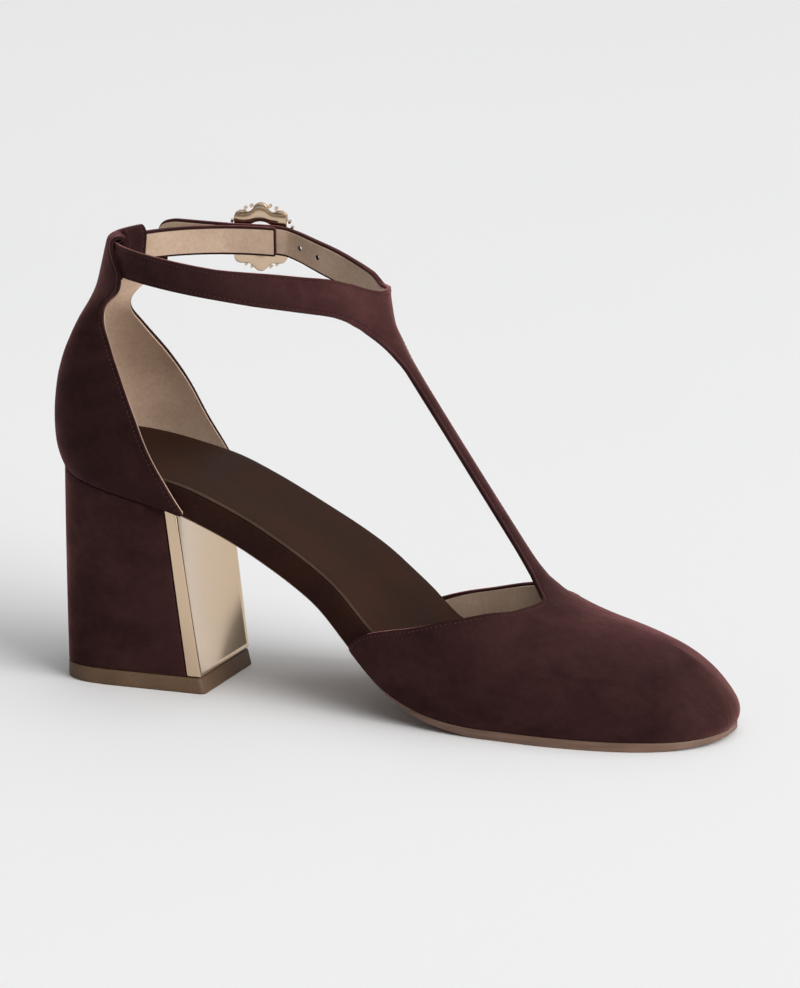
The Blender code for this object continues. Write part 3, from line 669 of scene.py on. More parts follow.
def quarter_place(u, v):
    across = 2 * u - 1
    row = round(v * QUARTER_ROWS)
    clear = GAP + WALL
    fold = clear + WALL / 2
    tab = 180 + TAB_ANGLE * across
    middle = STRAP.at("height", 180)
    if row <= CUP_ROWS:
        height = blend(QUARTER.keys[0], TAB_BLEND_TO, row / CUP_ROWS)
        share = ease(height, TAB_BLEND_FROM, TAB_BLEND_TO)
        wide = 180 + tab_angle(height - middle) * across
        return quarter_point(height, across).lerp(loop_point(wide, clear, height - middle), share)
    row -= CUP_ROWS
    if row <= TAB_ROWS:
        up = blend(TAB_BLEND_TO - middle, FOLD_UP, row / TAB_ROWS)
        return loop_point(180 + tab_angle(up) * across, clear, up)
    row -= TAB_ROWS
    if row <= FOLD_ROWS:
        turn = math.pi * row / FOLD_ROWS
        return loop_point(tab, fold * math.cos(turn) - WALL / 2, FOLD_UP + fold * math.sin(turn))
    row -= FOLD_ROWS
    return loop_point(tab, -WALL / 2 - fold, blend(FOLD_UP, FOLD_INSIDE_DOWN, row / INSIDE_ROWS))


quarter_sheet = weld(shaped_grid("suede_quarter", QUARTER_COLUMNS, QUARTER_ROWS, quarter_place))
face_away(quarter_sheet, HEEL_INSIDE)
modify(quarter_sheet, "SUBSURF", levels=1, render_levels=1)
quarter_runs = sewn_runs(edge_walk(quarter_sheet), above_sole)
mark_edge(quarter_sheet, quarter_runs)
print("quarter sheet:", len(quarter_sheet.data.polygons), "cells, sewn runs", [len(r) for r in quarter_runs])

# %% [markdown]
# ## Finishes
# A finish is a small tree of nodes round one Principled shader. What is the same all over, such as sheen or
# coat, is set on the shader itself; what changes over the surface comes from noise on Object coordinates,
# which are metres here, so a noise scale of 1000 makes marks of about a millimetre.

# %% Helpers for node trees
def finish_named(name, **sockets):
    material = bpy.data.materials.new(name)
    material.use_nodes = True
    shader = material.node_tree.nodes["Principled BSDF"]
    for socket, value in sockets.items():
        shader.inputs[socket.replace("_", " ")].default_value = value
    return material


def node(material, kind, values=None, **options):
    """Adds a node; a value that is another node's output is linked, any other is set."""
    made = material.node_tree.nodes.new("ShaderNode" + kind)
    for name, value in options.items():
        setattr(made, name, value)
    for socket, value in (values or {}).items():
        if isinstance(value, bpy.types.NodeSocket):
            material.node_tree.links.new(value, made.inputs[socket])
        else:
            made.inputs[socket].default_value = value
    return made


def shader_takes(material, **sources):
    shader = material.node_tree.nodes["Principled BSDF"]
    for socket, source in sources.items():
        material.node_tree.links.new(source, shader.inputs[socket.replace("_", " ")])


def cloud(material, scale, detail=2.0, stretch=(1, 1, 1), turn=(0, 0, 0), distortion=0.0):
    place = node(material, "TexCoord").outputs["Object"]
    laid = node(material, "Mapping", {"Vector": place, "Scale": stretch, "Rotation": turn})
    values = {"Vector": laid.outputs["Vector"], "Scale": scale, "Detail": detail, "Distortion": distortion}
    return node(material, "TexNoise", values).outputs["Fac"]


def mixed(material, *parts):
    """The sum of noises, each with its share."""
    total = None
    for source, share in parts:
        scaled = node(material, "Math", {0: source, 1: share}, operation="MULTIPLY").outputs[0]
        if total is not None:
            scaled = node(material, "Math", {0: total, 1: scaled}, operation="ADD").outputs[0]
        total = scaled
    return total


def ramp(material, source, *stops):
    made = node(material, "ValToRGB", {"Fac": source})
    band = made.color_ramp
    while len(band.elements) < len(stops):
        band.elements.new(0.5)
    for element, (position, colour) in zip(band.elements, stops):
        element.position = position
        element.color = (*colour, 1.0)
    return made.outputs["Color"]


def spread(material, source, low, high, to_low, to_high, smooth=False):
    values = {"Value": source, "From Min": low, "From Max": high, "To Min": to_low, "To Max": to_high}
    kind = "SMOOTHSTEP" if smooth else "LINEAR"
    return node(material, "MapRange", values, interpolation_type=kind).outputs["Result"]


def bump(material, height, strength, distance):
    values = {"Height": height, "Strength": strength, "Distance": distance}
    return node(material, "Bump", values).outputs["Normal"]


# %% [markdown]
# Suede is leather brushed to a nap. Seen close it is a field of short fibres; seen from arm's length it
# shows clouds where the nap lies one way or the other, and a pale bloom where it is seen edge on. So the
# colour runs between a deep and a pale burgundy through three sizes of noise, sheen gives the bloom, and the
# seam's pressed line comes from the distance that was kept on the sheet. The front of the strap, where the
# light falls most, is painted paler in colour and sheen: a painted highlight. The quarter, which stands in
# shade, has a deeper mix of the same tree with less sheen: painted shade.

# %% Burgundy suede
SEAM_INSET = 1.1
SUEDE_DEEP = (0.0138, 0.0040, 0.0040)
SUEDE_PALE = (0.0405, 0.0145, 0.0142)
SUEDE_PAINTED_HIGHLIGHT = (0.0760, 0.0290, 0.0275)
# Painted shade: the quarter's deeper pair of colours stands for the shade it sits in.
QUARTER_SHADE_DEEP = (0.0110, 0.0031, 0.0031)
QUARTER_SHADE_PALE = (0.0300, 0.0104, 0.0102)
TINT_COOL, TINT_WARM = (0.66, 0.250, 0.262), (0.62, 0.280, 0.246)
# Painted highlight: far along this way, at the strap's front, colour and sheen are made paler.
PAINTED_LIGHT_WAY, PAINTED_LIGHT_FROM, PAINTED_LIGHT_TO = (0.6, 0.0, 1.0), 0.095, 0.122
NAP_SCALE = 2400


def napped(name, deep, pale, sheen):
    material = finish_named(name, Roughness=0.93, Specular_IOR_Level=0.10, Sheen_Roughness=0.36)
    drift = cloud(material, 36, 3.0, (1.0, 1.3, 1.6), (0.2, 0.5, 0.3), 0.9)
    warmth = cloud(material, 30, 2.0, (1.2, 1.0, 1.4), (0.7, 0.1, 0.9), 0.6)
    mottle = cloud(material, 330, 3.0, (1.0, 1.2, 1.2), (0.0, 0.4, 0.2))
    nap = cloud(material, NAP_SCALE, 2.0, (0.9, 1.1, 1.1), (0.0, 0.5, 0.1))
    place = node(material, "TexCoord").outputs["Object"]
    # Painted highlight: the strap's front, where the light falls, is lifted towards the palest colour and
    # more sheen.
    along = node(material, "VectorMath", {0: place, 1: PAINTED_LIGHT_WAY}, operation="DOT_PRODUCT")
    painted_highlight = spread(material, along.outputs["Value"], PAINTED_LIGHT_FROM, PAINTED_LIGHT_TO, 0.0, 1.0, True)
    tone = mixed(material, (drift, 0.54), (mottle, 0.22), (nap, 0.24), (painted_highlight, 0.26))
    colour = ramp(material, tone, (0.30, deep), (0.70, pale), (0.95, SUEDE_PAINTED_HIGHLIGHT))
    bloom = mixed(material, (drift, 0.8), (mottle, 0.2), (painted_highlight, 0.2))
    shader_takes(
        material,
        Sheen_Weight=spread(material, bloom, 0.36, 0.66, *sheen),
        Sheen_Tint=ramp(material, warmth, (0.38, TINT_COOL), (0.62, TINT_WARM)),
    )
    edge = node(material, "Attribute", attribute_name="edge_mm").outputs["Fac"]
    off = node(material, "Math", {0: edge, 1: SEAM_INSET}, operation="SUBTRACT").outputs[0]
    away = node(material, "Math", {0: off}, operation="ABSOLUTE").outputs[0]
    seam = spread(material, away, 0.0, 0.75, 1.0, 0.0, True)
    height = mixed(material, (nap, 0.55), (mottle, 0.45), (seam, -1.1))
    shader_takes(material, Base_Color=colour, Normal=bump(material, height, 0.55, 0.0004))
    return material


suede = napped("burgundy_suede", SUEDE_DEEP, SUEDE_PALE, (0.50, 1.0))
# Painted shade: a darker, less shiny copy of the suede for the quarter.
shaded_suede = napped("burgundy_suede_painted_shade", QUARTER_SHADE_DEEP, QUARTER_SHADE_PALE, (0.30, 0.70))
print("finishes:", suede.name, shaded_suede.name)

# %% [markdown]
# The lining is thin smooth leather in beige. It shows inside the cup, inside the strap and as a pale line
# on the quarter's cut edge. The thread is a little paler than the suede and shines a little.

# %% Beige lining and thread
lining = finish_named("beige_lining", Roughness=0.55, Specular_IOR_Level=0.35)
lining_tone = mixed(lining, (cloud(lining, 70, 2.0), 0.6), (cloud(lining, 900, 3.0), 0.4))
shader_takes(
    lining,
    Base_Color=ramp(lining, lining_tone, (0.34, (0.40, 0.275, 0.195)), (0.66, (0.52, 0.375, 0.275))),
    Normal=bump(lining, cloud(lining, 1500, 4.0), 0.25, 0.0002),
)
thread = finish_named("burgundy_thread", Roughness=0.7, Specular_IOR_Level=0.25)
thread_tone = cloud(thread, 2400, 1.0)
shader_takes(
    thread,
    Base_Color=ramp(thread, thread_tone, (0.35, (0.042, 0.016, 0.015)), (0.65, (0.075, 0.031, 0.029))),
)
print("finishes:", lining.name, thread.name)

# %% [markdown]
# ## Give the sheets a body
# A twin of each sheet becomes the lining: it moves in past the suede and gets its own thin wall. Then the
# suede gets its wall, inwards as well, so its outer face stays on the last. A small bevel takes the
# sharpness off the cut edge. Two layers are chosen over one thick wall because the quarter's pale edge then
# comes by itself. On the upper the lining stops one cell short of the edge.

# %% Suede and lining of the upper and the quarter
SUEDE_THICK = 1.2
LINING_THICK = 0.45
LAYER_GAP = 0.03
SUEDE_ROUND = 0.3


def line_with(sheet, name, left_out):
    """A lining for the sheet, without the faces that the test leaves out."""
    made = twin(sheet, name)
    edit_faces(made, left_out, (bpy.ops.mesh.delete, {"type": "FACE"}))
    modify(made, "DISPLACE", strength=-(SUEDE_THICK + LAYER_GAP) * MM, mid_level=0.0)
    modify(made, "SOLIDIFY", thickness=LINING_THICK * MM, offset=-1.0)
    return made


def thicken(sheet):
    modify(sheet, "SOLIDIFY", thickness=SUEDE_THICK * MM, offset=-1.0)
    soften(sheet, SUEDE_ROUND)


upper_face = twin(upper_sheet, "upper_face")
quarter_face = twin(quarter_sheet, "quarter_face")
turned_edge = open_points(upper_sheet)
upper_lining = line_with(upper_sheet, "upper_lining", lambda face: turned_edge & set(face.vertices))
quarter_lining = line_with(quarter_sheet, "quarter_lining", lambda face: face.center.z > TAB_BLEND_TO * MM)
thicken(upper_sheet)
thicken(quarter_sheet)
print("walls:", SUEDE_THICK, "mm suede over", LINING_THICK, "mm lining")

# %% [markdown]
# ## Punched holes
# The strap has two round holes ahead of the buckle. A thin cylinder is set across the strap at each place
# and cut away with a Boolean, through suede and lining alike, as the punch does it.

# %% Punch the strap
BUCKLE_ANGLE = 106.0
HOLES_AHEAD = (13.4, 20.9)
HOLE_RADIUS, HOLE_SIDES, PUNCH_LENGTH = 0.85, 20, 5.0
ANGLE_STEP = 0.1


def angle_ahead(distance):
    """The angle round the strap that lies this far ahead of the buckle's middle."""
    angle, run = BUCKLE_ANGLE, 0.0
    while run < distance:
        here, ahead = loop_point(360 - angle, 0, 0), loop_point(360 - angle + ANGLE_STEP, 0, 0)
        run += (ahead - here).length
        angle -= ANGLE_STEP
    return angle


def strap_axes(angle, outward):
    """Place and axes on the holed arm: along to the front, up across the strap and out from it."""
    middle = loop_point(360 - angle, outward, 0)
    up = (loop_point(360 - angle, outward, 1) - middle).normalized()
    along = loop_point(362 - angle, outward, 0) - loop_point(358 - angle, outward, 0)
    out = along.cross(up).normalized()
    if out.y < 0:
        out.negate()
    axes = Matrix((up.cross(out), up, out)).transposed().to_4x4()
    return Matrix.Translation(metres(middle)) @ axes


def punch(place, *pieces):
    sizes = {"vertices": HOLE_SIDES, "radius": HOLE_RADIUS * MM, "depth": PUNCH_LENGTH * MM}
    cutter = started("punch", bpy.ops.mesh.primitive_cylinder_add, **sizes)
    cutter.matrix_world = place
    for piece in pieces:
        modify(piece, "BOOLEAN", operation="DIFFERENCE", solver="EXACT", object=cutter)
    bpy.data.objects.remove(cutter, do_unlink=True)


for distance in HOLES_AHEAD:
    angle = angle_ahead(distance)
    punch(strap_axes(angle, TAIL.at("outward", angle)), upper_sheet, upper_lining)
    print("hole at", round(angle, 1), "degrees")

dress(upper_sheet, "suede", suede, nodes=("vamp_upper",))
# The quarter takes the darker copy of the suede, which is painted shade.
dress(quarter_sheet, "suede", shaded_suede, nodes=("heel_quarter",))
dress(upper_lining, "sole_leather", lining)
dress(quarter_lining, "sole_leather", lining)

# %% [markdown]
# ## Stitching
# One stitch is modelled as a short, flattened thread whose ends dip into the suede. It is then copied along
# every sewn run at an even pitch, each copy seated on the face and turned along the seam, and the copies of
# a piece are joined. Real geometry is chosen over a painted line, because a row of stitches catches light.

# %% One stitch
STITCH_LENGTH = 1.15
STITCH_WIDTH = 0.32
STITCH_PITCH = 1.6
STITCH_DIP, STITCH_FLAT, STITCH_END, STITCH_LIFT = 0.30, 0.8, 0.12, 0.08


def rod(name, sides, cuts):
    """A cylinder along X, one unit long and one wide, cut into lengths."""
    sizes = {"vertices": sides, "radius": 0.5, "depth": 1.0, "rotation": (0, math.pi / 2, 0)}
    piece = started(name, bpy.ops.mesh.primitive_cylinder_add, **sizes)
    bpy.ops.object.transform_apply(location=False, rotation=True, scale=False)
    edit(piece, (bpy.ops.mesh.subdivide, {"number_cuts": cuts}))
    return piece


def one_stitch():
    stitch = rod("one_stitch", 6, 1)
    for vert in stitch.data.vertices:
        narrow = math.sqrt(max(STITCH_END, 1 - (2 * vert.co.x) ** 2))
        dip = STITCH_DIP * (2 * vert.co.x) ** 2
        across = vert.co.y * STITCH_WIDTH * narrow
        rise = vert.co.z * STITCH_WIDTH * STITCH_FLAT * narrow - dip
        vert.co = Vector((vert.co.x * STITCH_LENGTH, across, rise)) * MM
    return stitch


def seats_along(line, tree, pitch):
    """Places at an even pitch along a line, seated on the face."""
    seats, run, due = [], 0.0, pitch / 2
    for start, end in zip(line, line[1:]):
        length = (end - start).length
        while length > 0 and run + length >= due:
            place, normal, _, _ = tree.find_nearest(start.lerp(end, (due - run) / length))
            along = (end - start).normalized()
            along = (along - normal * along.dot(normal)).normalized()
            axes = Matrix((along, normal.cross(along), normal)).transposed().to_4x4()
            seats.append(Matrix.Translation(place + normal * STITCH_LIFT * MM) @ axes)
            due += pitch
        run += length
    return seats


def sew(name, face, runs):
    bm = bmesh.new()
    bm.from_mesh(face.data)
    tree = BVHTree.FromBMesh(bm)
    bm.free()
    stitch = one_stitch()
    copies = []
    for run in runs:
        line = [point + inward * SEAM_INSET * MM for point, inward in run]
        for seat in seats_along(line, tree, STITCH_PITCH * MM):
            made = twin(stitch, "stitch")
            made.data.transform(seat)
            copies.append(made)
    bpy.data.objects.remove(stitch, do_unlink=True)
    bpy.data.objects.remove(face, do_unlink=True)
    only(*copies)
    bpy.ops.object.join()
    row = bpy.context.active_object
    row.name = name
    print(name, len(copies), "stitches")
    dress(row, "suede", thread)


# %% Sew the edges
sew("upper_stitching", upper_face, upper_runs)
sew("quarter_stitching", quarter_face, quarter_runs)

# %% [markdown]
# ## The footbed
# Between the straps the side of a thick insole shows. It is board and cushion wrapped in dark leather, with
# the brown sock on top, cut a little smaller so that its pale edge draws a line along the waist. Each layer
# is two grids, an upper and a lower face, whose open edges are bridged; a bevel then rounds the rim.

# %% Layers of the sole
INSOLE_THICK, INSOLE_THINNER = 7.8, 3.0
INSOLE_THIN = (112.0, 150.0)
VAMP_DRAFT, DRAFT = 2.9, (102.0, 118.0)
INSOLE_EDGE = WALL + GAP
SOCK_THICK, SOCK_EDGE = 0.9, INSOLE_EDGE + 0.8
LAYER_COLUMNS, LAYER_ROWS = 120, 14
FOOTBED_ROUND, SOCK_ROUND = 0.9, 0.2
SIDE_FACING = 0.45


def insole_top(x):
    return INSOLE_THICK - INSOLE_THINNER * ease(x, *INSOLE_THIN)


def vamp_draft(x):
    return VAMP_DRAFT * ease(x, *DRAFT)


def layer_face(name, start, end, inset, lift):
    def place(u, v):
        x = blend(start, end, (1 - math.cos(math.pi * u)) / 2)
        slope = math.atan(SOLE.at("height", x + 0.5) - SOLE.at("height", x - 0.5))
        shift = Vector((-math.sin(slope), 0, math.cos(slope))) * lift(x)
        y = blend(edge_y(x, -1, inset(x)), edge_y(x, 1, inset(x)), v)
        return Vector((x, y, SOLE.at("height", x))) + shift

    return shaped_grid(name, LAYER_COLUMNS, LAYER_ROWS, place)


def layer(name, start, end, low, high, round_edge):
    piece = layer_face(name, start, end, *high)
    under = layer_face("under", start, end, *low)
    only(piece, under)
    bpy.ops.object.join()
    close_rim(piece, bpy.ops.mesh.bridge_edge_loops)
    soften(piece, round_edge, 3)
    return piece


# %% Dark cover, brown sock and its pale edge
def leather(name, deep, pale, rough, gloss=0.15, grain=1100, depth=0.3):
    material = finish_named(name, Specular_IOR_Level=gloss)
    drift, fine = cloud(material, 60, 3.0), cloud(material, grain, 4.0)
    tone = mixed(material, (drift, 0.65), (fine, 0.35))
    shader_takes(
        material,
        Base_Color=ramp(material, tone, (0.35, deep), (0.65, pale)),
        Roughness=spread(material, drift, 0.3, 0.7, rough - 0.08, rough + 0.08),
        Normal=bump(material, fine, depth, 0.0002),
    )
    return material


cover = leather("dark_wrapped_leather", (0.0155, 0.0046, 0.0028), (0.0270, 0.0083, 0.0052), 0.8, 0.1)
sock_leather = leather("brown_sock_leather", (0.021, 0.0078, 0.0040), (0.033, 0.0130, 0.0071), 0.75, 0.1)
sock_cut = leather("sock_cut_edge", (0.075, 0.046, 0.030), (0.110, 0.070, 0.047), 0.75)

footbed = layer(
    "wrapped_footbed", SEAT_BACK + INSOLE_EDGE + GAP, TOE_TIP - INSOLE_EDGE - VAMP_DRAFT - GAP,
    (lambda x: INSOLE_EDGE + tuck(x), lambda x: 0.0),
    (lambda x: INSOLE_EDGE + vamp_draft(x), insole_top),
    FOOTBED_ROUND,
)
dress(footbed, "insole_cover", cover, nodes=("insole",))
sock = layer(
    "brown_sock", SEAT_BACK + SOCK_EDGE + GAP, TOE_TIP - SOCK_EDGE - VAMP_DRAFT - GAP,
    (lambda x: SOCK_EDGE + vamp_draft(x), lambda x: insole_top(x) + GAP),
    (lambda x: SOCK_EDGE + vamp_draft(x), lambda x: insole_top(x) + GAP + SOCK_THICK),
    SOCK_ROUND,
)
dress(sock, "sock_leather", sock_leather, sock_cut, nodes=("sock_lining",))


def paint_edge(piece):
    """Gives the faces that look sideways the piece's second finish."""
    for face in piece.data.polygons:
        face.material_index = 1 if abs(face.normal.y) > SIDE_FACING else 0


paint_edge(sock)

# %% [markdown]
# ## The outsole
# The sole is one thin sheet of tan leather from the toe to the heel's breast. Its trimmed edge shows fine
# layers of fibre, so the noise is stretched along the sole, and broader patches vary its tone and gloss.
# Like the footbed it is two grids that are bridged; under the arch the lower one is narrower.

# %% Tan leather sole
BREAST_BASE, BREAST_TOP, BREAST_LEAN = 54.8, 47.2, 0.1387
OUTSOLE_START = 1.8
WAIST_EDGE, WAIST_BEVEL = 2.0, 2.4
FOREPART_EDGE, FOREPART = 1.7, (96.0, 136.0)
SOLE_ROUND = 0.3


def breast_x(height):
    return BREAST_BASE - BREAST_LEAN * height


def outsole_edge(x):
    return blend(WAIST_EDGE, FOREPART_EDGE, ease(x, *FOREPART))


def tread_edge(x):
    """In the waist the edge is bevelled under, so that it shows as a fine line."""
    return outsole_edge(x) + WAIST_BEVEL * (1 - ease(x, *FOREPART))


sole_leather = finish_named("tan_sole_leather", Specular_IOR_Level=0.4)
fibre = cloud(sole_leather, 900, 3.0, (0.08, 0.08, 1.6))
patch = cloud(sole_leather, 55, 4.0)
sole_tone = mixed(sole_leather, (fibre, 0.45), (patch, 0.55))
shader_takes(
    sole_leather,
    Base_Color=ramp(sole_leather, sole_tone, (0.34, (0.112, 0.061, 0.040)), (0.66, (0.195, 0.113, 0.078))),
    Roughness=spread(sole_leather, patch, 0.3, 0.7, 0.42, 0.62),
    Normal=bump(sole_leather, fibre, 0.25, 0.0002),
)
outsole = layer(
    "leather_sole", breast_x(SOLE.at("height", BREAST_TOP)) + OUTSOLE_START, TOE_TIP - FOREPART_EDGE - GAP,
    (tread_edge, lambda x: -GAP - SOLE.at("outsole", x)),
    (outsole_edge, lambda x: -GAP),
    SOLE_ROUND,
)
dress(outsole, "sole_leather", sole_leather, nodes=("outsole",))

# %% [markdown]
# ## The heel
# The block is wrapped in the same suede, from its top under the quarter to the heel tip. A grid is rolled
# round the heel's outline, welded where it meets itself, and closed above and below.

# %% Suede-covered block
TIP_THICK = 5.0
PLATE_THICK = (4.8, 4.1)
TIP_FRONT = 55.3
HEEL_BASE = {"back": 4.9, "centre": 28.0, "half": 19.8, "round": 3.1}
HEEL_TOP = {"back": SEAT_BACK, "centre": SEAT_CENTRE, "half": 24.6, "round": SEAT_ROUND}
HEEL_FRONT_HALF = (19.8, 21.8)
HEEL_SIDE_POINTS, HEEL_FRONT_POINTS = 34, 6
HEEL_ROWS = 16
HEEL_ROUND, HEEL_SHARP = 0.35, 55


def heel_outline(share, front_inset):
    """Half of the outline at a share of the heel's height, from the middle of its back to a front corner."""
    back, centre, half, power = (blend(HEEL_BASE[k], HEEL_TOP[k], share) for k in HEEL_BASE)
    base, top = TIP_THICK + GAP, SOLE.at("height", BREAST_TOP) - GAP
    points = []
    for turn in steps(0, math.pi / 2, HEEL_SIDE_POINTS):
        points.append((centre - (centre - back) * math.cos(turn) ** (2 / power),
                       half * math.sin(turn) ** (2 / power)))
    front, front_half = breast_x(blend(base, top, share)) - front_inset, blend(*HEEL_FRONT_HALF, share)
    for t in steps(0, 1, HEEL_FRONT_POINTS)[1:]:
        points.append((blend(centre, front, t), blend(half, front_half, t * t)))
    return points


def heel_ring(share, front_inset):
    half = heel_outline(share, front_inset)
    return [(x, -y) for x, y in half[::-1]] + half[1:]


def rolled(name, rows, ring_at, height_at):
    """A grid rolled round rings of points, welded at its seam and closed at both ends."""
    count = len(ring_at(0.0))

    def place(u, v):
        row = round(v * rows) / rows
        x, y = ring_at(row)[round(u * count) % count]
        return Vector((x, y, height_at(row, x)))

    piece = weld(shaped_grid(name, count, rows, place))
    close_rim(piece, bpy.ops.mesh.edge_face_add)
    return piece


def heel_height(share, x):
    return blend(TIP_THICK + GAP, SOLE.at("height", x) - GAP, share)


heel = rolled("covered_heel", HEEL_ROWS, lambda s: heel_ring(s, blend(*PLATE_THICK, s) + GAP), heel_height)
soften(heel, HEEL_ROUND, angle=HEEL_SHARP)
dress(heel, "suede", suede, nodes=("heel_block",))

# %% [markdown]
# The heel tip is a solid brown piece under the block and the plate, with a slight gloss. It is rolled from a
# grid like the block. Its front leans, its two front corners are rounded, and a bevel softens its rims.

# %% Heel tip
tip_rubber = leather("brown_heel_tip", (0.086, 0.049, 0.027), (0.148, 0.088, 0.050), 0.55, 0.25, 1800, 0.2)
TIP_CORNER, CORNER_STEPS = 1.6, 4
TIP_ROWS, TIP_ROUND = 4, 0.4


def tip_ring(share):
    ring = heel_ring(0, 0)
    front, half = blend(TIP_FRONT, ring[0][0], share), ring[-1][1]
    corner = []
    for turn in steps(0, math.pi / 2, CORNER_STEPS):
        corner.append((front - TIP_CORNER * (1 - math.sin(turn)), half - TIP_CORNER * (1 - math.cos(turn))))
    return [(x, -y) for x, y in corner[::-1]] + ring[1:-1] + corner


tip = rolled("heel_tip", TIP_ROWS, tip_ring, lambda share, x: share * TIP_THICK)
soften(tip, TIP_ROUND, angle=HEEL_SHARP)
dress(tip, "top_piece", tip_rubber, nodes=("heel_top_piece",))

# %% [markdown]
# ## The breast plate
# A polished plate in pale gold covers the front of the heel, and its sides show beside the block as a strip.
# A cube's corners are moved to the heel's taper, a bevel gives the bright line along its edges, and two
# insets sink the middle of its front a little. The metal takes its look from what it reflects, so its finish
# is almost nothing but a low, slightly uneven roughness.

# %% Pale gold plate
PLATE_ROUND = 0.55
PLATE_RIM, PLATE_SLOPE, PLATE_SUNK = 0.5, 0.7, 0.35
FRONT_FACING, FRONT_AREA = 0.95, 200.0

gold = finish_named("pale_gold", Base_Color=(0.65, 0.49, 0.345, 1.0), Metallic=1.0)
polish = mixed(gold, (cloud(gold, 40, 3.0), 0.7), (cloud(gold, 2200, 2.0, (1, 1, 0.05)), 0.3))
shader_takes(
    gold,
    Roughness=spread(gold, polish, 0.3, 0.7, 0.10, 0.20),
    Normal=bump(gold, cloud(gold, 28, 1.0), 0.06, 0.001),
)


def plate_corner(forward, side, upward):
    low, high = TIP_THICK + GAP, SOLE.at("height", BREAST_TOP) - GAP
    x = breast_x(high if upward else low) - (0 if forward else PLATE_THICK[upward])
    half = HEEL_FRONT_HALF[upward]
    return Vector((x, side * half, SOLE.at("height", x) - GAP if upward else low))


plate = started("breast_plate", bpy.ops.mesh.primitive_cube_add, size=2)
for vert in plate.data.vertices:
    vert.co = metres(plate_corner(vert.co.x > 0, vert.co.y, vert.co.z > 0))
soften(plate, PLATE_ROUND, 3, 40)
edit_faces(
    plate,
    lambda face: face.normal.x > FRONT_FACING and face.area > FRONT_AREA * MM * MM,
    (bpy.ops.mesh.inset, {"thickness": PLATE_RIM * MM, "depth": 0.0}),
    (bpy.ops.mesh.inset, {"thickness": PLATE_SLOPE * MM, "depth": -PLATE_SUNK * MM}),
)
dress(plate, "gold", gold, nodes=("heel_breast_plate",), smooth=30)

# %% [markdown]
# ## The buckle
# A ring of eight lobes carries eight cut stones, with small prong beads in the gaps and an open middle
# where the strap shows. It is modelled flat at the origin, as a jeweller would, and moved onto the strap
# when it is done. Two circles are bridged into a flat ring, which is then extruded and bevelled.

# %% The ring
LOBES = 8
LOBE = 2 * math.pi / LOBES
RING_RADIUS, SCALLOP, RING_HOLE = 9.9, 0.9, 5.2
RING_THICK, RING_SEAT = 1.3, 0.25
RING_POINTS, RING_ROUND = 128, 0.25
buckle_place = strap_axes(BUCKLE_ANGLE, TAIL.at("outward", BUCKLE_ANGLE) + GAP)


def flat_ring(name, radius_at):
    made = started(name, bpy.ops.mesh.primitive_circle_add, vertices=RING_POINTS, fill_type="NOTHING")
    for vert in made.data.vertices:
        turn = math.atan2(vert.co.y, vert.co.x)
        vert.co = Vector((math.cos(turn), math.sin(turn), 0)) * radius_at(turn) * MM
    return made


ring = flat_ring("buckle_ring", lambda turn: RING_RADIUS + SCALLOP * math.cos(LOBES * turn))
only(ring, flat_ring("hole", lambda turn: RING_HOLE))
bpy.ops.object.join()
edit(
    ring,
    (bpy.ops.mesh.select_mode, {"type": "EDGE"}),
    (bpy.ops.mesh.bridge_edge_loops, {}),
    (bpy.ops.mesh.select_all, {"action": "SELECT"}),
    (bpy.ops.mesh.extrude_region_move, {"TRANSFORM_OT_translate": {"value": (0, 0, RING_THICK * MM)}}),
    (bpy.ops.mesh.select_all, {"action": "SELECT"}),
    (bpy.ops.mesh.normals_make_consistent, {"inside": False}),
    (bpy.ops.transform.translate, {"value": (0, 0, RING_SEAT * MM)}),
)
soften(ring, RING_ROUND)

# %% Stone seats and prong beads on the ring
STONE_RING = 7.9
STONE_LENGTH, STONE_WIDTH, STONE_HEIGHT = 5.4, 4.7, 2.2
METAL_SINK = 0.1
METAL_BASE = RING_SEAT + RING_THICK - METAL_SINK
BEZEL_HEIGHT, BEZEL_FLARE, BEZEL_WALL, BEZEL_SIDES = 1.15, 1.04, 0.22, 28
BEAD_RADIUS, BEAD_POST, POST_BELOW = 0.62, 0.8, -0.35
OUTER_BEADS, OUTER_TOP, OUTER_TURN = 10.15, 2.9, 0.10
INNER_BEADS, INNER_TOP = 5.5, 2.7


def bezel():
    """A low wall that holds one stone."""
    sizes = {"vertices": BEZEL_SIDES, "radius": 0.5, "depth": 1.0, "end_fill_type": "NOTHING"}
    made = started("one_bezel", bpy.ops.mesh.primitive_cylinder_add, **sizes)
    for vert in made.data.vertices:
        upper = vert.co.z > 0
        flare = BEZEL_FLARE if upper else 1.0
        rise = METAL_BASE + (BEZEL_HEIGHT if upper else 0.0)
        vert.co = Vector((vert.co.x * STONE_LENGTH * flare, vert.co.y * STONE_WIDTH * flare, rise)) * MM
    modify(made, "SOLIDIFY", thickness=BEZEL_WALL * MM, offset=1.0)
    return made


def prong(reach, top):
    """A short post with a round head, at its reach from the ring's middle."""
    made = started("one_prong", bpy.ops.mesh.primitive_uv_sphere_add, segments=14, ring_count=9)
    for vert in made.data.vertices:
        if vert.co.z < POST_BELOW:
            vert.co = Vector((vert.co.x * BEAD_POST, vert.co.y * BEAD_POST, (METAL_BASE - top) / BEAD_RADIUS))
        vert.co = vert.co * BEAD_RADIUS * MM
    made.data.transform(Matrix.Translation(Vector((reach, 0, top)) * MM))
    return made


def turned(piece, turn):
    """A copy of the piece, turned round the ring's middle."""
    made = twin(piece, piece.name)
    made.data.transform(Matrix.Rotation(turn, 4, "Z"))
    return made


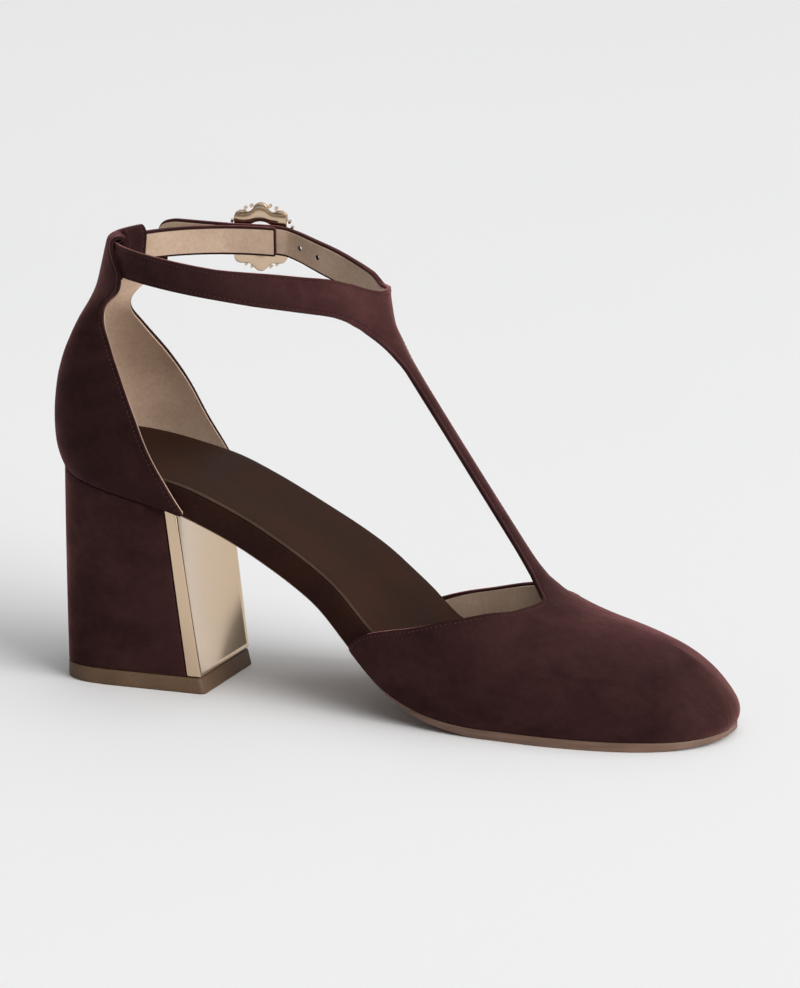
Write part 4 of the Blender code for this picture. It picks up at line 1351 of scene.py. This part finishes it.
one_bezel = bezel()
one_bezel.data.transform(Matrix.Translation((STONE_RING * MM, 0, 0)))
outer_prong, inner_prong = prong(OUTER_BEADS, OUTER_TOP), prong(INNER_BEADS, INNER_TOP)
metal = []
for i in range(LOBES):
    gap = LOBE * (i + 0.5)
    metal += [turned(one_bezel, LOBE * i), turned(outer_prong, gap - OUTER_TURN)]
    metal += [turned(outer_prong, gap + OUTER_TURN), turned(inner_prong, gap)]
for model in (one_bezel, outer_prong, inner_prong):
    bpy.data.objects.remove(model, do_unlink=True)
only(ring, *metal)
bpy.ops.object.join()
ring.data.transform(buckle_place)
dress(ring, "gold", gold, nodes=("buckle_frame",))

# %% [markdown]
# Each stone is an oval with a straight girdle, two rows of facets and a flat table. A filled circle is
# extruded upwards four times: it widens to the girdle, runs straight, and is drawn in twice. Turning these
# last two steps by half a facet each slants the planes, as on a cut stone. Flat shading keeps them crisp.

# %% Eight cut stones
STONE_SIDES = 12
HALF_FACET = math.pi / STONE_SIDES
# Each step has its share of the height, its share of the width and its turn.
STONE_STEPS = [
    (0.0, 0.86, 0), (0.16, 1.0, 0), (0.40, 1.0, 0), (0.74, 0.82, HALF_FACET), (1.0, 0.52, HALF_FACET),
]
STONE_SEAT = RING_SEAT + RING_THICK + GAP

stone_glass = finish_named(
    "burgundy_stone", Roughness=0.03, IOR=1.75, Coat_Weight=0.6, Coat_Roughness=0.02,
    Transmission_Weight=0.35,
)
flash = cloud(stone_glass, 420, 1.0)
shader_takes(
    stone_glass,
    Base_Color=ramp(stone_glass, flash, (0.35, (0.10, 0.008, 0.012)), (0.65, (0.34, 0.035, 0.040))),
)

base_circle = {"vertices": STONE_SIDES, "radius": STONE_STEPS[0][1] / 2, "fill_type": "NGON"}
one_stone = started("one_stone", bpy.ops.mesh.primitive_circle_add, **base_circle)
cuts = []
for (low, wide, _), (high, narrow, turn) in zip(STONE_STEPS, STONE_STEPS[1:]):
    drawn, centre = narrow / wide, {"center_override": (0, 0, high)}
    cuts += [
        (bpy.ops.mesh.extrude_region_move, {"TRANSFORM_OT_translate": {"value": (0, 0, high - low)}}),
        (bpy.ops.transform.resize, {"value": (drawn, drawn, 1), **centre}),
        (bpy.ops.transform.rotate, {"value": turn, "orient_axis": "Z", **centre}),
    ]
edit(
    one_stone, *cuts,
    (bpy.ops.mesh.select_all, {"action": "SELECT"}),
    (bpy.ops.mesh.quads_convert_to_tris, {"ngon_method": "BEAUTY"}),
    (bpy.ops.mesh.tris_convert_to_quads, {"face_threshold": 0.02, "shape_threshold": 0.7}),
    (bpy.ops.mesh.normals_make_consistent, {"inside": False}),
)
one_stone.data.transform(Matrix.Diagonal((STONE_LENGTH * MM, STONE_WIDTH * MM, STONE_HEIGHT * MM, 1.0)))
for i in range(LOBES):
    cut = twin(one_stone, f"petal_stone_{i + 1}")
    lobe = buckle_place @ Matrix.Rotation(LOBE * i, 4, "Z")
    cut.data.transform(lobe @ Matrix.Translation(Vector((STONE_RING, 0, STONE_SEAT)) * MM))
    dress(cut, "stone", stone_glass, nodes=(f"buckle_stone_{i + 1}",), smooth=1)
bpy.data.objects.remove(one_stone, do_unlink=True)

# %% [markdown]
# The pin starts at the rear of the ring's opening and lies over the strap. A cylinder along the strap is cut
# into lengths and drawn in towards its tip, and a bevel rounds its ends.

# %% The pin
PIN_THICK, PIN_LENGTH = 1.5, 6.2
PIN_TIP, PIN_TAPER = 0.62, (0.15, 0.9)
PIN_ROUND = 0.2

pin = rod("buckle_pin", 20, 6)
for vert in pin.data.vertices:
    t = vert.co.x + 0.5
    thick = PIN_THICK * blend(1.0, PIN_TIP, ease(t, *PIN_TAPER))
    x = -(RING_HOLE - GAP) + t * PIN_LENGTH
    vert.co = Vector((x, vert.co.y * thick, GAP + PIN_THICK / 2 + vert.co.z * thick)) * MM
soften(pin, PIN_ROUND)
pin.data.transform(buckle_place)
dress(pin, "gold", gold, nodes=("buckle_prong",))

# %% [markdown]
# ## The studio
# The floor is a wide pale plane under a dim white world. A large panel hangs overhead, a soft sun on the
# toe's side throws the soft shadow towards the heel, and a faint one fills in from the far side. The camera
# stands far off with a long lens, a little above the shoe and towards its toe, and frames this one shoe.

# %% Floor and light
FLOOR_SIZE = 30.0
FLOOR_DIM, FLOOR_BRIGHT = (0.835, 0.837, 0.838), (0.847, 0.848, 0.848)
WORLD_WHITE, WORLD_STRENGTH = (1.0, 1.0, 1.0, 1.0), 0.15

floor_paint = finish_named("pale_floor", Roughness=0.9, Specular_IOR_Level=0.1)
floor_tone = cloud(floor_paint, 3, 1.0)
shader_takes(floor_paint, Base_Color=ramp(floor_paint, floor_tone, (0.3, FLOOR_DIM), (0.7, FLOOR_BRIGHT)))
floor = started("studio_floor", bpy.ops.mesh.primitive_plane_add, size=FLOOR_SIZE)
floor.data.materials.append(floor_paint)

world = bpy.data.worlds.new("studio")
world.use_nodes = True
world.node_tree.nodes["Background"].inputs["Color"].default_value = WORLD_WHITE
world.node_tree.nodes["Background"].inputs["Strength"].default_value = WORLD_STRENGTH
bpy.context.scene.world = world
bpy.context.scene.view_settings.view_transform = "Standard"


def hang(name, kind, place, **settings):
    light = bpy.data.lights.new(name, kind)
    for setting, value in settings.items():
        setattr(light, setting, value)
    made = bpy.data.objects.new(name, light)
    made.location = place
    made.rotation_euler = (-Vector(place)).to_track_quat("-Z", "Y").to_euler()
    bpy.context.scene.collection.objects.link(made)


hang("sky_panel", "AREA", (1.4, -0.2, 3.2), size=6.0, energy=105)
hang("key", "SUN", (2.3, -0.85, 1.15), angle=math.radians(46), energy=3.0)
hang("far_fill", "SUN", (-0.5, 2.0, 0.9), angle=math.radians(60), energy=0.5)

# %% Camera
CAMERA_PLACE = Vector((0.8667, -2.2462, 0.668))
CAMERA_AIM = Vector((-0.0065, 0.0178, 0.0594))
LENS, SENSOR, SEES_TO = 296.0, 36.0, 60.0

camera = bpy.data.objects.new("camera", bpy.data.cameras.new("camera"))
camera.data.lens = LENS
camera.data.sensor_width = SENSOR
camera.data.clip_end = SEES_TO
camera.location = CAMERA_PLACE
camera.rotation_euler = (CAMERA_AIM - CAMERA_PLACE).to_track_quat("-Z", "Y").to_euler()
bpy.context.scene.collection.objects.link(camera)
bpy.context.scene.camera = camera
print("camera distance", round((CAMERA_AIM - CAMERA_PLACE).length, 3), "m")
